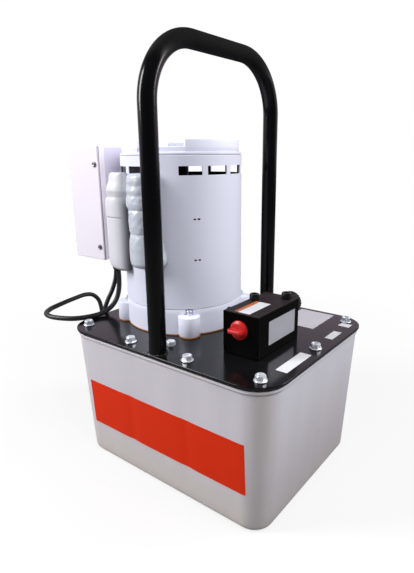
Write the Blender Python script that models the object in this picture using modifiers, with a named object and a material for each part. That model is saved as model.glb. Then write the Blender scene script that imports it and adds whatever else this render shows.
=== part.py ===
"""Portable hydraulic power unit, piece by piece.

Metres, +Z up. The origin is the middle of the tank's underside, the tank's long side runs along X, and its
banded front faces -Y. Heights above the cover plate are measured from DECK, the top of that plate.
"""

import math

import bmesh
import bpy
from mathutils import Matrix, Vector

# Clearances
SEAT = 0.0003  # between faces that rest on each other
RUN = 0.0006  # round shanks in their holes, and round pieces that turn or slide
THROUGH = 0.004  # how far a cutter runs past the wall it opens
WELD = 1e-5  # points this close are one
AXIS_MARK = 0.05  # size of an empty on screen

# Facets
ROUND = 32  # steps round the motor's large turned pieces
SMALL_ROUND = 20  # steps round bearings, screws and knobs
BOLT_SIDES = 12  # points round a bolt, two for each side of its hexagon
HOLE_SIDES = 8  # sides of a clearance hole
HEX_SIDES = 6
CORNER_STEPS = 5  # steps round a corner of the plate and tank
SMALL_CORNER_STEPS = 4  # steps round a corner of the plug and pendant
FILLET_STEPS = 2  # steps up the rounding at the tank's foot
FOOT_STEPS = 3  # steps round a capacitor cover's foot
RIM_STEPS = 8  # steps along a piece of the end bell's rim
CAN_STEPS = 8  # steps round an end of a capacitor
FLUTE_STEPS = 4  # points in a flute of the knob
ROUTE_STEPS = 16  # points between two of a route's own points
HANDLE_TUBE_STEPS = 4  # bevel resolution of the handle's tube
CORD_STEPS = 2  # bevel resolution of the leads and pipe
COIL_STEPS = 1  # bevel resolution of the coils
SMOOTH_ANGLE = math.radians(35)

# Cover plate
PLATE_LENGTH = 0.342
PLATE_WIDTH = 0.280
PLATE_CORNER = 0.041
PLATE_THICK = 0.0034

# Oil tank, drafted inwards from the rim to the floor
TANK_HEIGHT = 0.192
TANK_WALL = 0.0045
TANK_FLOOR = 0.006
TANK_DRAFT = 0.0109
TANK_FOOT_FILLET = 0.008
TANK_RIM_OUT = 0.0015
TANK_RIM_HEIGHT = 0.005
PLATE_OVERHANG = 0.0023  # plate edge past the tank's rim
TANK_GASKET_THICK = 0.0016
TANK_GASKET_INSET = 0.0015  # from the plate's edge
TANK_GASKET_BAND = 0.022

# Deck bolts, washer and hex head in one piece
BOLT_RADIUS = 0.003
BOLT_LENGTH = 0.024
BOLT_HEX = 0.0111
BOLT_HEAD = 0.006
BOLT_WASHER_RADIUS = 0.0078
BOLT_WASHER_THICK = 0.0013
BOLT_CORNER_INSET = 0.024
BOLT_LONG_SIDE_INSET = 0.016
BOLT_SHORT_SIDE_INSET = 0.0155
BOLT_SPACING = 0.0986  # between the two bolts of a long side
BOSS_RADIUS = 0.0095
BOSS_FLOOR = 0.006  # boss under the bolt's tip

# Vent plug beside the handle's front leg
VENT_X = 0.001
VENT_INSET = 0.0395  # from the plate's front edge
VENT_RADIUS = 0.0045
VENT_LENGTH = 0.014
VENT_HEX = 0.011
VENT_HEAD = 0.006

# Carrying handle, one bent tube
HANDLE_X = 0.005
HANDLE_INSET = 0.0115  # middle of a leg from the plate's edge
HANDLE_HEIGHT = 0.3673  # middle of the bar above the plate
HANDLE_TUBE_RADIUS = 0.011
HANDLE_WALL = 0.002
HANDLE_BEND = 0.076
HANDLE_BEND_STEPS = 7

# Motor
MOTOR_X = -0.062
MOTOR_Y = 0.0
MOTOR_RADIUS = 0.085
MOTOR_GASKET_THICK = 0.00115
MOTOR_GASKET_MARGIN = 0.0004
MOTOR_GASKET_BORE = 0.060
BASE_HEIGHT = 0.0365  # top of the base casting above the plate
BASE_WALL = 0.006
BASE_FLOOR = 0.009
LUG_COUNT = 4
LUG_TURN = math.radians(45)
LUG_OUT = 0.0009  # middle of a lug past the shell's radius
LUG_RADIUS = 0.0141
LUG_HEIGHT = 0.0285
LUG_BOLT_RADIUS = 0.003
LUG_BOLT_LENGTH = 0.038
LUG_BOLT_HEX = 0.007
LUG_BOLT_HEAD = 0.0062
LUG_WASHER_RADIUS = 0.0045
LUG_WASHER_THICK = 0.0008
SHELL_WALL = 0.003
SHELL_LENGTH = 0.2004
WINDOW_PLACES = 14  # the last place of the ring is left solid
WINDOW_ARC = math.radians(20.5)
WINDOW_FIRST = math.radians(-40.7)
WINDOW_HEIGHT = 0.0112
WINDOW_DROP = 0.0132  # top edge of the windows below the shell's top
BELL_FLANGE = 0.0035
BELL_FLANGE_INSET = 0.0004
BELL_DRUM_INSET = 0.005
BELL_DRUM_HEIGHT = 0.007
BELL_ROOF = 0.004
BELL_RIM_COUNT = 3
BELL_RIM_ARC = math.radians(73)
BELL_RIM_FIRST = math.radians(-44.6)
BELL_RIM_INSET = 0.0034
BELL_RIM_WALL = 0.0125
BELL_RIM_HEIGHT = 0.009  # above the drum

# Inside the motor
SHAFT_RADIUS = 0.0099
JOURNAL_RADIUS = 0.0084
BEARING_RADIUS = 0.020
BEARING_WIDTH = 0.012
BEARING_HOUSING_WALL = 0.007
STATOR_BORE_RADIUS = 0.0452
STATOR_CORE_LOW = 0.095
STATOR_CORE_LENGTH = 0.075
WINDING_OVERHANG = 0.027
WINDING_INSET = 0.007  # winding heads in from the core's two faces
AIR_GAP = 0.0008
ROTOR_OVERHANG = 0.002
FAN_RADIUS = 0.058
FAN_LOW = 0.041
FAN_DISC = 0.003
FAN_HUB_WALL = 0.006
FAN_HUB_HEIGHT = 0.017
FAN_BLADES = 8
FAN_BLADE_THICK = 0.002

# Capacitor covers: domes on the shell, and the oval capacitors under them
CAP_OUT = 0.002  # axis of a cover past the shell's radius
CAP_TURNS = {"left": math.radians(-124), "right": math.radians(-79.5)}
CAP_RADII = {"left": 0.0215, "right": 0.0255}
CAP_LOWS = {"left": 0.084, "right": 0.0955}
CAP_FOOT_ROUND = 0.014
CAP_FOOT_INSET = 0.0075
CAP_SEAM = 0.157
CAP_LID_OUT = 0.0007
CAP_TIERS = (  # inset from the lid's side, and height
    (0.0, 0.183),
    (0.0014, 0.186),
    (0.0014, 0.196),
    (0.0032, 0.199),
    (0.0032, 0.212),
    (0.0062, 0.216),
)
CAP_WALL = 0.0015
CAPACITOR_WIDTH = 0.030
CAPACITOR_DEPTH = 0.017
CAPACITOR_LOW = 0.100
CAPACITOR_HEIGHT = 0.078

# Control box, hung on the motor by a nipple
BOX_WIDTH = 0.0625
BOX_DEPTH = 0.0885
BOX_HEIGHT = 0.159
BOX_LOW = 0.091
BOX_FRONT = -0.0765
BOX_SHEET = 0.0015
BOX_STANDOFF = 0.003  # between the box and the shell
BOX_LID_SHEET = 0.0012
BOX_LID_LIP = 0.012
LID_SCREW_RADIUS = 0.002
LID_SCREW_LENGTH = 0.009
LID_SCREW_HEAD_RADIUS = 0.0038
LID_SCREW_HEAD = 0.0022
LID_SCREW_CROWN = 0.0027  # radius of the head's flat top
LID_SCREW_EDGE = 0.0009  # height of the head's straight side
LID_SCREW_INSET = 0.006  # from the box's right side
LID_SCREW_HEIGHTS = {"upper": 0.2263, "lower": 0.1086}
LID_TAB = 0.012
NIPPLE_Y = -0.006
NIPPLE_HEIGHT = 0.200
NIPPLE_RADIUS = 0.009
NIPPLE_BORE = 0.006
NIPPLE_COLLAR_RADIUS = 0.013
NIPPLE_NUT = 0.005
NIPPLE_REACH = 0.006  # into the motor
CONTACTOR_WIDTH = 0.045
CONTACTOR_DEPTH = 0.048
CONTACTOR_HEIGHT = 0.070
CONTACTOR_LOW = 0.130
CONTACTOR_STEP = 0.012

# Cord grips under the box, and the two leads
GRIP_PLACES = {"power": (-0.1605, -0.0432), "pendant": (-0.173, -0.037)}
GRIP_HEX = 0.0118
GRIP_HEX_HEIGHT = 0.009
GRIP_NOSE = 0.0155
GRIP_THREAD_RADIUS = 0.0052
GRIP_NOSE_WALL = 0.0013
GRIP_NUT = 0.004
POWER_CORD_DIAMETER = 0.0075
POWER_CORD_LENGTH = 1.8
PENDANT_CORD_DIAMETER = 0.007
PENDANT_CORD_LENGTH = 1.8
COIL_PITCH = 1.2  # of the cord's diameter, beside and above
COIL_POINTS = 24  # a turn
COIL_CLIMB = 0.5  # turns in which a coil rises to its upper layer
COIL_TAIL = 0.044  # straight end of the coil, up to what the lead carries
POWER_COIL_TURNS = 5.125
PENDANT_COIL_TURNS = 5.25
CORD_SPACING = 3  # diameters between a tube's points
PLUG_LENGTH = 0.040
PLUG_WIDTH = 0.026
PLUG_HEIGHT = 0.0236
PLUG_CORNER = 0.0065
PLUG_BLADE_LENGTH = 0.016
PLUG_BLADE_WIDTH = 0.0064
PLUG_BLADE_THICK = 0.0016
PLUG_BLADE_SPACING = 0.0127
PENDANT_LENGTH = 0.095
PENDANT_WIDTH = 0.034
PENDANT_HEIGHT = 0.024
PENDANT_CORNER = 0.0085
BUTTON_RADIUS = 0.0085
BUTTON_PROUD = 0.004
BUTTON_DEPTH = 0.010
BUTTON_TRAVEL = 0.003

# Valve block
BLOCK_X = 0.0925
BLOCK_Y = -0.0265
BLOCK_WIDTH = 0.051
BLOCK_LENGTH = 0.099
BLOCK_HEIGHT = 0.054
BLOCK_EDGE = 0.001
BLOCK_SCREW_PLACES = ((0.075, -0.018), (0.106, 0.011))
BLOCK_SCREW_RADIUS = 0.004
BLOCK_SCREW_HEAD_RADIUS = 0.0065
BLOCK_SCREW_HEAD = 0.008
BLOCK_SCREW_SOCKET = 0.0034
BLOCK_SCREW_TIP = 0.005  # below the plate
PORT_X = 0.092
PORT_HEIGHT = 0.034
PORT_RADIUS = 0.0095
PORT_DEPTH = 0.016
PORT_PLUG_RADIUS = 0.013
PORT_PLUG_FLANGE = 0.004
PORT_PLUG_EDGE = 0.001
PORT_PLUG_FIN = 0.009
PORT_PLUG_FIN_THICK = 0.005
PORT_PLUG_FIN_LENGTH = 0.022
GALLERY_RADIUS = 0.004
KNOB_X = 0.099
KNOB_HEIGHT = 0.042
KNOB_RADIUS = 0.015
KNOB_LENGTH = 0.0165
KNOB_FLUTES = 12
KNOB_FLUTE_DEPTH = 0.0012
KNOB_STEM_RADIUS = 0.005
KNOB_STEM = 0.006

# Gear pump under the plate
GEAR_TEETH = 14
GEAR_MODULE = 0.0022
GEAR_PRESSURE_ANGLE = math.radians(25)
GEAR_ADDENDUM = 0.8  # of the module
GEAR_DEDENDUM = 1.25  # of the module
GEAR_BACKLASH = 0.00045
GEAR_WIDTH = 0.020
PUMP_LENGTH = 0.100
PUMP_WIDTH = 0.076
PUMP_HEIGHT = 0.044
PUMP_COVER_THICK = 0.012
IDLER_JOURNAL_RADIUS = 0.008
IDLER_JOURNAL = 0.010
PORT_POCKET_RADIUS = 0.007
PORT_POCKET_Y = 0.0125
OUTLET_RISE = 0.008  # outlet's middle above the gear chamber
SHAFT_HOLE_RADIUS = 0.020
PIPE_RADIUS = 0.005
PIPE_ENTRY = 0.012  # into the valve block
PIPE_BEND = 0.0543  # from where the pipe turns aside to the valve block's bore
STRAINER_RADIUS = 0.024
STRAINER_LENGTH = 0.080
STRAINER_NECK = 0.014
STRAINER_NECK_RADIUS = 0.0085

# Places worked out from the sizes above
DECK = TANK_HEIGHT + SEAT + TANK_GASKET_THICK + SEAT + PLATE_THICK
VENT_Y = VENT_INSET - PLATE_WIDTH / 2
HANDLE_SPAN = PLATE_WIDTH - 2 * HANDLE_INSET
MOTOR_AXIS = (MOTOR_X, MOTOR_Y, DECK)
LUG_CIRCLE = MOTOR_RADIUS + LUG_OUT
CAP_AXIS = MOTOR_RADIUS + CAP_OUT
BASE_BOTTOM = 2 * SEAT + MOTOR_GASKET_THICK
SHELL_LOW = BASE_HEIGHT + SEAT
SHELL_HIGH = SHELL_LOW + SHELL_LENGTH
SHELL_BORE = MOTOR_RADIUS - SHELL_WALL
BELL_LOW = SHELL_HIGH + SEAT
BELL_DRUM_TOP = BELL_LOW + BELL_FLANGE + BELL_DRUM_HEIGHT
LOWER_BEARING_LOW = BASE_BOTTOM + BASE_FLOOR + SEAT
UPPER_BEARING_HIGH = BELL_DRUM_TOP - 2 * BELL_ROOF - SEAT
BEARING_SEAT = BEARING_RADIUS + SEAT
BEARING_BORE = JOURNAL_RADIUS + SEAT
FAN_HUB_RADIUS = SHAFT_RADIUS + SEAT + FAN_HUB_WALL
BOX_RIGHT = MOTOR_X - MOTOR_RADIUS - BOX_STANDOFF
BOX_LEFT = BOX_RIGHT - BOX_WIDTH
BOX_BACK = BOX_FRONT + BOX_DEPTH
BOX_HIGH = BOX_LOW + BOX_HEIGHT
LID_FACE = BOX_FRONT - SEAT - BOX_LID_SHEET
GRIP_LOW = BOX_LOW - SEAT - GRIP_HEX_HEIGHT - GRIP_NOSE
BLOCK_FRONT = BLOCK_Y - BLOCK_LENGTH / 2
BLOCK_BACK = BLOCK_Y + BLOCK_LENGTH / 2
BLOCK_TOP = SEAT + BLOCK_HEIGHT
PUMP_TOP = -PLATE_THICK - SEAT
PUMP_LOW = PUMP_TOP - PUMP_HEIGHT
PUMP_COVER_HIGH = PUMP_LOW - SEAT
PUMP_COVER_LOW = PUMP_COVER_HIGH - PUMP_COVER_THICK
GEAR_LOW = PUMP_LOW + RUN
GEAR_HIGH = GEAR_LOW + GEAR_WIDTH
CHAMBER_HIGH = GEAR_HIGH + RUN
GEAR_PITCH_RADIUS = GEAR_TEETH * GEAR_MODULE / 2
GEAR_TIP_RADIUS = GEAR_PITCH_RADIUS + GEAR_ADDENDUM * GEAR_MODULE
GEAR_CENTRES = 2 * GEAR_PITCH_RADIUS
IDLER_AXIS = (MOTOR_X + GEAR_CENTRES, MOTOR_Y, DECK)
PUMP_X = MOTOR_X + GEAR_PITCH_RADIUS
OUTLET_HEIGHT = CHAMBER_HIGH + OUTLET_RISE

# Routes of the leads, from the grip down to where the coil begins: x, y, and z from the floor. Below the
# plate's level they drop behind the tank, out of the front view.
POWER_ROUTE = (
    (-0.1605, -0.0432, 0.2632),
    (-0.1600, -0.0434, 0.2500),
    (-0.1590, -0.0460, 0.2336),
    (-0.1595, -0.0520, 0.2186),
    (-0.1615, -0.0630, 0.2076),
    (-0.1635, -0.0800, 0.2021),
    (-0.1666, -0.0990, 0.2016),
    (-0.1775, -0.1181, 0.2016),
    (-0.1977, -0.1302, 0.2016),
    (-0.2160, -0.1345, 0.2016),
    (-0.2336, -0.1300, 0.2016),
    (-0.2472, -0.1140, 0.2016),
    (-0.2560, -0.0904, 0.2016),
    (-0.2658, -0.0532, 0.2016),
    (-0.2705, -0.0278, 0.2010),
    (-0.2718, -0.0118, 0.1966),
    (-0.2715, 0.0000, 0.1846),
    (-0.2705, 0.0040, 0.1680),
    (-0.2700, 0.0045, 0.1250),
    (-0.2700, 0.0045, 0.0800),
    (-0.2700, 0.0048, 0.0440),
    (-0.2700, 0.0105, 0.0235),
    (-0.2700, 0.0240, 0.0088),
    (-0.2700, 0.0440, 0.0040),
    (-0.2700, 0.0720, 0.00375),
)
PENDANT_ROUTE = (
    (-0.1730, -0.0370, 0.2632),
    (-0.1735, -0.0385, 0.2496),
    (-0.1755, -0.0445, 0.2316),
    (-0.1795, -0.0530, 0.2136),
    (-0.1828, -0.0590, 0.1956),
    (-0.1840, -0.0615, 0.1750),
    (-0.1840, -0.0615, 0.1250),
    (-0.1840, -0.0615, 0.0750),
    (-0.1838, -0.0605, 0.0400),
    (-0.1825, -0.0545, 0.0215),
    (-0.1795, -0.0420, 0.0085),
    (-0.1745, -0.0230, 0.0038),
    (-0.1680, 0.0050, 0.0035),
    (-0.1630, 0.0400, 0.0035),
    (-0.1615, 0.0800, 0.0035),
    (-0.1615, 0.1300, 0.0035),
    (-0.1615, 0.1755, 0.0035),
)

# Finishes: colour, roughness, metallic
FINISHES = {
    "milky_plastic": ((0.72, 0.72, 0.70), 0.42, 0.0),
    "black_paint": ((0.012, 0.012, 0.014), 0.28, 0.0),
    "white_paint": ((0.78, 0.77, 0.84), 0.38, 0.0),
    "zinc": ((0.62, 0.62, 0.60), 0.35, 1.0),
    "bare_steel": ((0.50, 0.50, 0.50), 0.40, 1.0),
    "cast_aluminium": ((0.60, 0.60, 0.62), 0.45, 1.0),
    "black_block": ((0.016, 0.016, 0.018), 0.45, 0.0),
    "red_plastic": ((0.75, 0.03, 0.02), 0.40, 0.0),
    "black_plastic": ((0.02, 0.02, 0.022), 0.50, 0.0),
    "rubber": ((0.02, 0.02, 0.02), 0.70, 0.0),
    "gasket_tan": ((0.42, 0.25, 0.13), 0.80, 0.0),
    "copper_winding": ((0.55, 0.24, 0.10), 0.45, 0.6),
    "mesh_screen": ((0.45, 0.44, 0.40), 0.50, 1.0),
}


def clear_scene():
    for obj in list(bpy.data.objects):
        bpy.data.objects.remove(obj, do_unlink=True)


def new_collection(name):
    made = bpy.data.collections.new(name)
    bpy.context.scene.collection.children.link(made)
    return made


clear_scene()
PARTS = new_collection("hydraulic_power_unit")
CUTTERS = new_collection("cutters")


def axis_empty(name, at):
    empty = bpy.data.objects.new(name, None)
    empty.location = at
    empty.empty_display_size = AXIS_MARK
    PARTS.objects.link(empty)
    bpy.context.view_layer.update()
    return empty


UNIT = axis_empty("unit", (0, 0, 0))
ROTOR = axis_empty("rotor_axis", MOTOR_AXIS)
IDLER = axis_empty("idler_axis", IDLER_AXIS)


def finish(obj, name, parent=UNIT):
    """Gives a piece its finish and its parent."""
    found = bpy.data.materials.get(name)
    if found is None:
        colour, roughness, metallic = FINISHES[name]
        found = bpy.data.materials.new(name)
        found.use_nodes = True
        shader = found.node_tree.nodes["Principled BSDF"]
        shader.inputs["Base Color"].default_value = (*colour, 1)
        shader.inputs["Roughness"].default_value = roughness
        shader.inputs["Metallic"].default_value = metallic
    obj.data.materials.append(found)
    obj.parent = parent
    obj.matrix_parent_inverse = parent.matrix_world.inverted()
    return obj


def add(name, data, at):
    obj = bpy.data.objects.new(name, data)
    obj.location = at
    PARTS.objects.link(obj)
    return obj


def from_bmesh(name, bm, at):
    bmesh.ops.recalc_face_normals(bm, faces=bm.faces)
    mesh = bpy.data.meshes.new(name)
    bm.to_mesh(mesh)
    bm.free()
    mesh.shade_smooth()
    mesh.set_sharp_from_angle(angle=SMOOTH_ANGLE)
    return add(name, mesh, at)


def as_mesh(curve):
    """Turns a curve object into a mesh object of the same name, with its caps welded on."""
    bpy.context.view_layer.update()
    graph = bpy.context.evaluated_depsgraph_get()
    mesh = bpy.data.meshes.new_from_object(curve.evaluated_get(graph))
    bm = bmesh.new()
    bm.from_mesh(mesh)
    bmesh.ops.remove_doubles(bm, verts=bm.verts, dist=WELD)
    bpy.data.meshes.remove(mesh)
    name, matrix = curve.name, curve.matrix_world.copy()
    bpy.data.objects.remove(curve, do_unlink=True)
    obj = from_bmesh(name, bm, (0, 0, 0))
    obj.matrix_world = matrix
    return obj


def box(name, low, high, at=(0, 0, 0), edge=0.0):
    middle = (Vector(low) + Vector(high)) / 2
    size = Vector(high) - Vector(low)
    bm = bmesh.new()
    bmesh.ops.create_cube(bm, size=1, matrix=Matrix.Translation(middle) @ Matrix.Diagonal((*size, 1)))
    obj = from_bmesh(name, bm, at)
    if edge:
        rounding = obj.modifiers.new("rounded_edges", "BEVEL")
        rounding.width = edge
        rounding.segments = 1
    return obj


def rods(name, radius, places, low, high, at=(0, 0, 0), sides=HOLE_SIDES):
    """Upright cylinders, one at each place."""
    bm = bmesh.new()
    for x, y in places:
        middle = Matrix.Translation((x, y, (low + high) / 2))
        bmesh.ops.create_cone(
            bm, cap_ends=True, segments=sides, radius1=radius, radius2=radius, depth=high - low, matrix=middle
        )
    return from_bmesh(name, bm, at)


def rod_between(name, radius, start, end, sides=HOLE_SIDES):
    start, end = Vector(start), Vector(end)
    along = (end - start).to_track_quat("Z", "Y").to_matrix().to_4x4()
    place = Matrix.Translation((start + end) / 2) @ along
    bm = bmesh.new()
    depth = (end - start).length
    bmesh.ops.create_cone(
        bm, cap_ends=True, segments=sides, radius1=radius, radius2=radius, depth=depth, matrix=place
    )
    return from_bmesh(name, bm, (0, 0, 0))


def turned(name, profile, at=(0, 0, 0), steps=ROUND):
    """A profile of radius and height, turned about Z. Its outer side runs from top to bottom."""
    bm = bmesh.new()
    points = [bm.verts.new((radius, 0, height)) for radius, height in profile]
    for first, second in zip(points, points[1:]):
        bm.edges.new((first, second))
    if all(radius > 0 for radius, _ in profile):
        bm.edges.new((points[-1], points[0]))
    mesh = bpy.data.meshes.new(name)
    bm.to_mesh(mesh)
    bm.free()
    obj = add(name, mesh, at)
    screw = obj.modifiers.new("turn", "SCREW")
    screw.steps = screw.render_steps = steps
    screw.use_merge_vertices = True
    screw.merge_threshold = WELD
    screw.use_smooth_shade = True
    return obj


def loft(name, sections, at=(0, 0, 0)):
    """A closed skin over rings of points, from the lowest ring to the highest."""
    bm = bmesh.new()
    rings = [[bm.verts.new(point) for point in section] for section in sections]
    for below, above in zip(rings, rings[1:]):
        for i in range(len(below)):
            bm.faces.new((below[i - 1], below[i], above[i], above[i - 1]))
    bm.faces.new(rings[0])
    bm.faces.new(rings[-1])
    return from_bmesh(name, bm, at)


def slab(name, outlines, low, high, at=(0, 0, 0)):
    """A flat piece between two heights: its outer outline and then its holes."""
    curve = bpy.data.curves.new(name, "CURVE")
    curve.dimensions = "2D"
    curve.fill_mode = "BOTH"
    curve.extrude = (high - low) / 2
    for outline in outlines:
        spline = curve.splines.new("POLY")
        spline.points.add(len(outline) - 1)
        for point, (x, y) in zip(spline.points, outline):
            point.co = (x, y, 0, 1)
        spline.use_cyclic_u = True
    return as_mesh(add(name, curve, (at[0], at[1], at[2] + (low + high) / 2)))


def tube(name, points, radius, bevel_resolution=CORD_STEPS):
    curve = bpy.data.curves.new(name, "CURVE")
    curve.dimensions = "3D"
    curve.bevel_depth = radius
    curve.bevel_resolution = bevel_resolution
    curve.use_fill_caps = True
    spline = curve.splines.new("POLY")
    spline.points.add(len(points) - 1)
    for point, place in zip(spline.points, points):
        point.co = (*place, 1)
    spline.use_smooth = True
    return add(name, curve, (0, 0, 0))


def combine(target, tool, operation):
    modifier = target.modifiers.new(tool.name, "BOOLEAN")
    modifier.operation = operation
    modifier.object = tool
    tool.hide_render = True
    tool.display_type = "WIRE"
    PARTS.objects.unlink(tool)
    CUTTERS.objects.link(tool)


def cut(target, *tools):
    for tool in tools:
        combine(target, tool, "DIFFERENCE")


def join(target, *tools):
    for tool in tools:
        combine(target, tool, "UNION")


def circle(radius, centre=(0, 0), sides=HOLE_SIDES):
    steps = [2 * math.pi * i / sides for i in range(sides)]
    return [(centre[0] + radius * math.cos(a), centre[1] + radius * math.sin(a)) for a in steps]


def rounded_rectangle(half_x, half_y, radius, steps=CORNER_STEPS):
    points = []
    for corner, (sx, sy) in enumerate(((1, 1), (-1, 1), (-1, -1), (1, -1))):
        for i in range(steps + 1):
            turn = math.pi / 2 * (corner + i / steps)
            x = sx * (half_x - radius) + radius * math.cos(turn)
            y = sy * (half_y - radius) + radius * math.sin(turn)
            points.append((x, y))
    return points


def at_height(outline, z):
    return [(x, y, z) for x, y in outline]


def ring_places(radius, count, first):
    turns = [first + 2 * math.pi * i / count for i in range(count)]
    return [(radius * math.cos(a), radius * math.sin(a)) for a in turns]


def hexagon(across, sides=BOLT_SIDES):
    """A hexagon with a point in the middle of each side, to match a twelve-sided ring."""
    radii = (across / 2 / math.cos(math.pi / 6), across / 2)
    turns = [2 * math.pi * i / sides for i in range(sides)]
    return [(radii[i % 2] * math.cos(a), radii[i % 2] * math.sin(a)) for i, a in enumerate(turns)]


def bolt_ring(radius, z):
    return at_height(circle(radius, sides=BOLT_SIDES), z)


def hex_bolt(name, at, shank, length, across, head, washer=0.0, washer_thick=0.0):
    """A hex-headed bolt pointing down, with the underside of its head or washer at its origin."""
    sections = [bolt_ring(shank, -length), bolt_ring(shank, 0)]
    if washer:
        sections += [bolt_ring(washer, 0), bolt_ring(washer, washer_thick)]
    top = washer_thick + head
    sections += [at_height(hexagon(across), washer_thick), at_height(hexagon(across), top)]
    return loft(name, sections, at)


def deck_bolt_places():
    """The ten bolts round the plate: corners, then long sides, then short sides."""
    half_x, half_y = PLATE_LENGTH / 2, PLATE_WIDTH / 2
    corner_x, corner_y = half_x - BOLT_CORNER_INSET, half_y - BOLT_CORNER_INSET
    side_y = half_y - BOLT_LONG_SIDE_INSET
    end_x = half_x - BOLT_SHORT_SIDE_INSET
    corners = [(sx * corner_x, sy * corner_y) for sx in (-1, 1) for sy in (-1, 1)]
    long_sides = [(sx * BOLT_SPACING / 2, sy * side_y) for sx in (-1, 1) for sy in (-1, 1)]
    return corners + long_sides + [(-end_x, 0), (end_x, 0)]


def lug_places():
    return ring_places(LUG_CIRCLE, LUG_COUNT, LUG_TURN)


def tank_outline(inset):
    """The tank's outer wall at its top, drawn in by an inset."""
    inset += PLATE_OVERHANG + TANK_RIM_OUT
    return rounded_rectangle(PLATE_LENGTH / 2 - inset, PLATE_WIDTH / 2 - inset, PLATE_CORNER - inset)


def make_tank():
    def draft(z):
        return TANK_DRAFT * (1 - z / TANK_HEIGHT)

    fillet = []
    for i in range(FILLET_STEPS + 1):
        turn = math.pi / 2 * i / FILLET_STEPS
        z = TANK_FOOT_FILLET * (1 - math.cos(turn))
        fillet.append(at_height(tank_outline(draft(z) + TANK_FOOT_FILLET * (1 - math.sin(turn))), z))
    rim_low = TANK_HEIGHT - TANK_RIM_HEIGHT
    wall = [at_height(tank_outline(draft(rim_low)), rim_low)]
    rim = [at_height(tank_outline(-TANK_RIM_OUT), z) for z in (rim_low, TANK_HEIGHT)]
    tank = loft("reservoir_tank", fillet + wall + rim)
    inner = [at_height(tank_outline(draft(z) + TANK_WALL), z) for z in (TANK_FLOOR, TANK_HEIGHT + THROUGH)]
    cut(tank, loft("tank_hollow", inner))
    places = deck_bolt_places()
    boss_low = TANK_HEIGHT - BOLT_LENGTH - BOSS_FLOOR
    join(tank, rods("tank_bosses", BOSS_RADIUS, places, boss_low, TANK_HEIGHT - SEAT, sides=BOLT_SIDES))
    hole_low = TANK_HEIGHT - BOLT_LENGTH
    cut(tank, rods("tank_bolt_holes", BOLT_RADIUS + RUN, places, hole_low, TANK_HEIGHT + THROUGH))
    finish(tank, "milky_plastic")


def make_deck():
    bolts = deck_bolt_places()
    bolt_holes = [circle(BOLT_RADIUS + RUN, place) for place in bolts]
    half_x, half_y = PLATE_LENGTH / 2, PLATE_WIDTH / 2
    outer = TANK_GASKET_INSET
    inner = TANK_GASKET_INSET + TANK_GASKET_BAND
    bands = [rounded_rectangle(half_x - d, half_y - d, PLATE_CORNER - d) for d in (outer, inner)]
    gasket_low = TANK_HEIGHT + SEAT
    gasket = slab("tank_gasket", bands + bolt_holes, gasket_low, gasket_low + TANK_GASKET_THICK)
    finish(gasket, "rubber")

    lugs = [(MOTOR_X + x, MOTOR_Y + y) for x, y in lug_places()]
    holes = bolt_holes + [circle(LUG_BOLT_RADIUS + RUN, place) for place in lugs]
    holes += [circle(BLOCK_SCREW_RADIUS + RUN, place) for place in BLOCK_SCREW_PLACES]
    holes.append(circle(VENT_RADIUS + RUN, (VENT_X, VENT_Y)))
    holes.append(circle(PIPE_RADIUS + RUN, (PORT_X, BLOCK_Y), SMALL_ROUND))
    holes.append(circle(SHAFT_HOLE_RADIUS, (MOTOR_X, MOTOR_Y), SMALL_ROUND))
    outline = rounded_rectangle(half_x, half_y, PLATE_CORNER)
    plate = slab("cover_plate", [outline] + holes, DECK - PLATE_THICK, DECK)
    finish(plate, "black_paint")

    for number, (x, y) in enumerate(bolts, start=1):
        bolt = hex_bolt(
            f"deck_bolt_{number:02d}",
            (x, y, DECK + SEAT),
            BOLT_RADIUS,
            BOLT_LENGTH - SEAT,
            BOLT_HEX,
            BOLT_HEAD,
            BOLT_WASHER_RADIUS,
            BOLT_WASHER_THICK,
        )
        finish(bolt, "zinc")
    vent = hex_bolt(
        "vent_plug", (VENT_X, VENT_Y, DECK + SEAT), VENT_RADIUS, VENT_LENGTH, VENT_HEX, VENT_HEAD
    )
    finish(vent, "zinc")


def handle_path(extra):
    """The middle line of the handle, with its ends run on by an extra length."""
    half, top = HANDLE_SPAN / 2, DECK + HANDLE_HEIGHT
    turns = [math.pi / 2 * i / HANDLE_BEND_STEPS for i in range(HANDLE_BEND_STEPS + 1)]
    bend = [(half - HANDLE_BEND * (1 - math.cos(t)), top - HANDLE_BEND * (1 - math.sin(t))) for t in turns]
    side = [(half, DECK + SEAT - extra)] + bend
    outline = side + [(-y, z) for y, z in reversed(side)]
    return [(HANDLE_X, y, z) for y, z in outline]


def make_handle():
    handle = as_mesh(tube("carry_handle", handle_path(0), HANDLE_TUBE_RADIUS, HANDLE_TUBE_STEPS))
    cut(handle, as_mesh(tube("handle_bore", handle_path(THROUGH), HANDLE_TUBE_RADIUS - HANDLE_WALL)))
    finish(handle, "black_paint")


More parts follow.
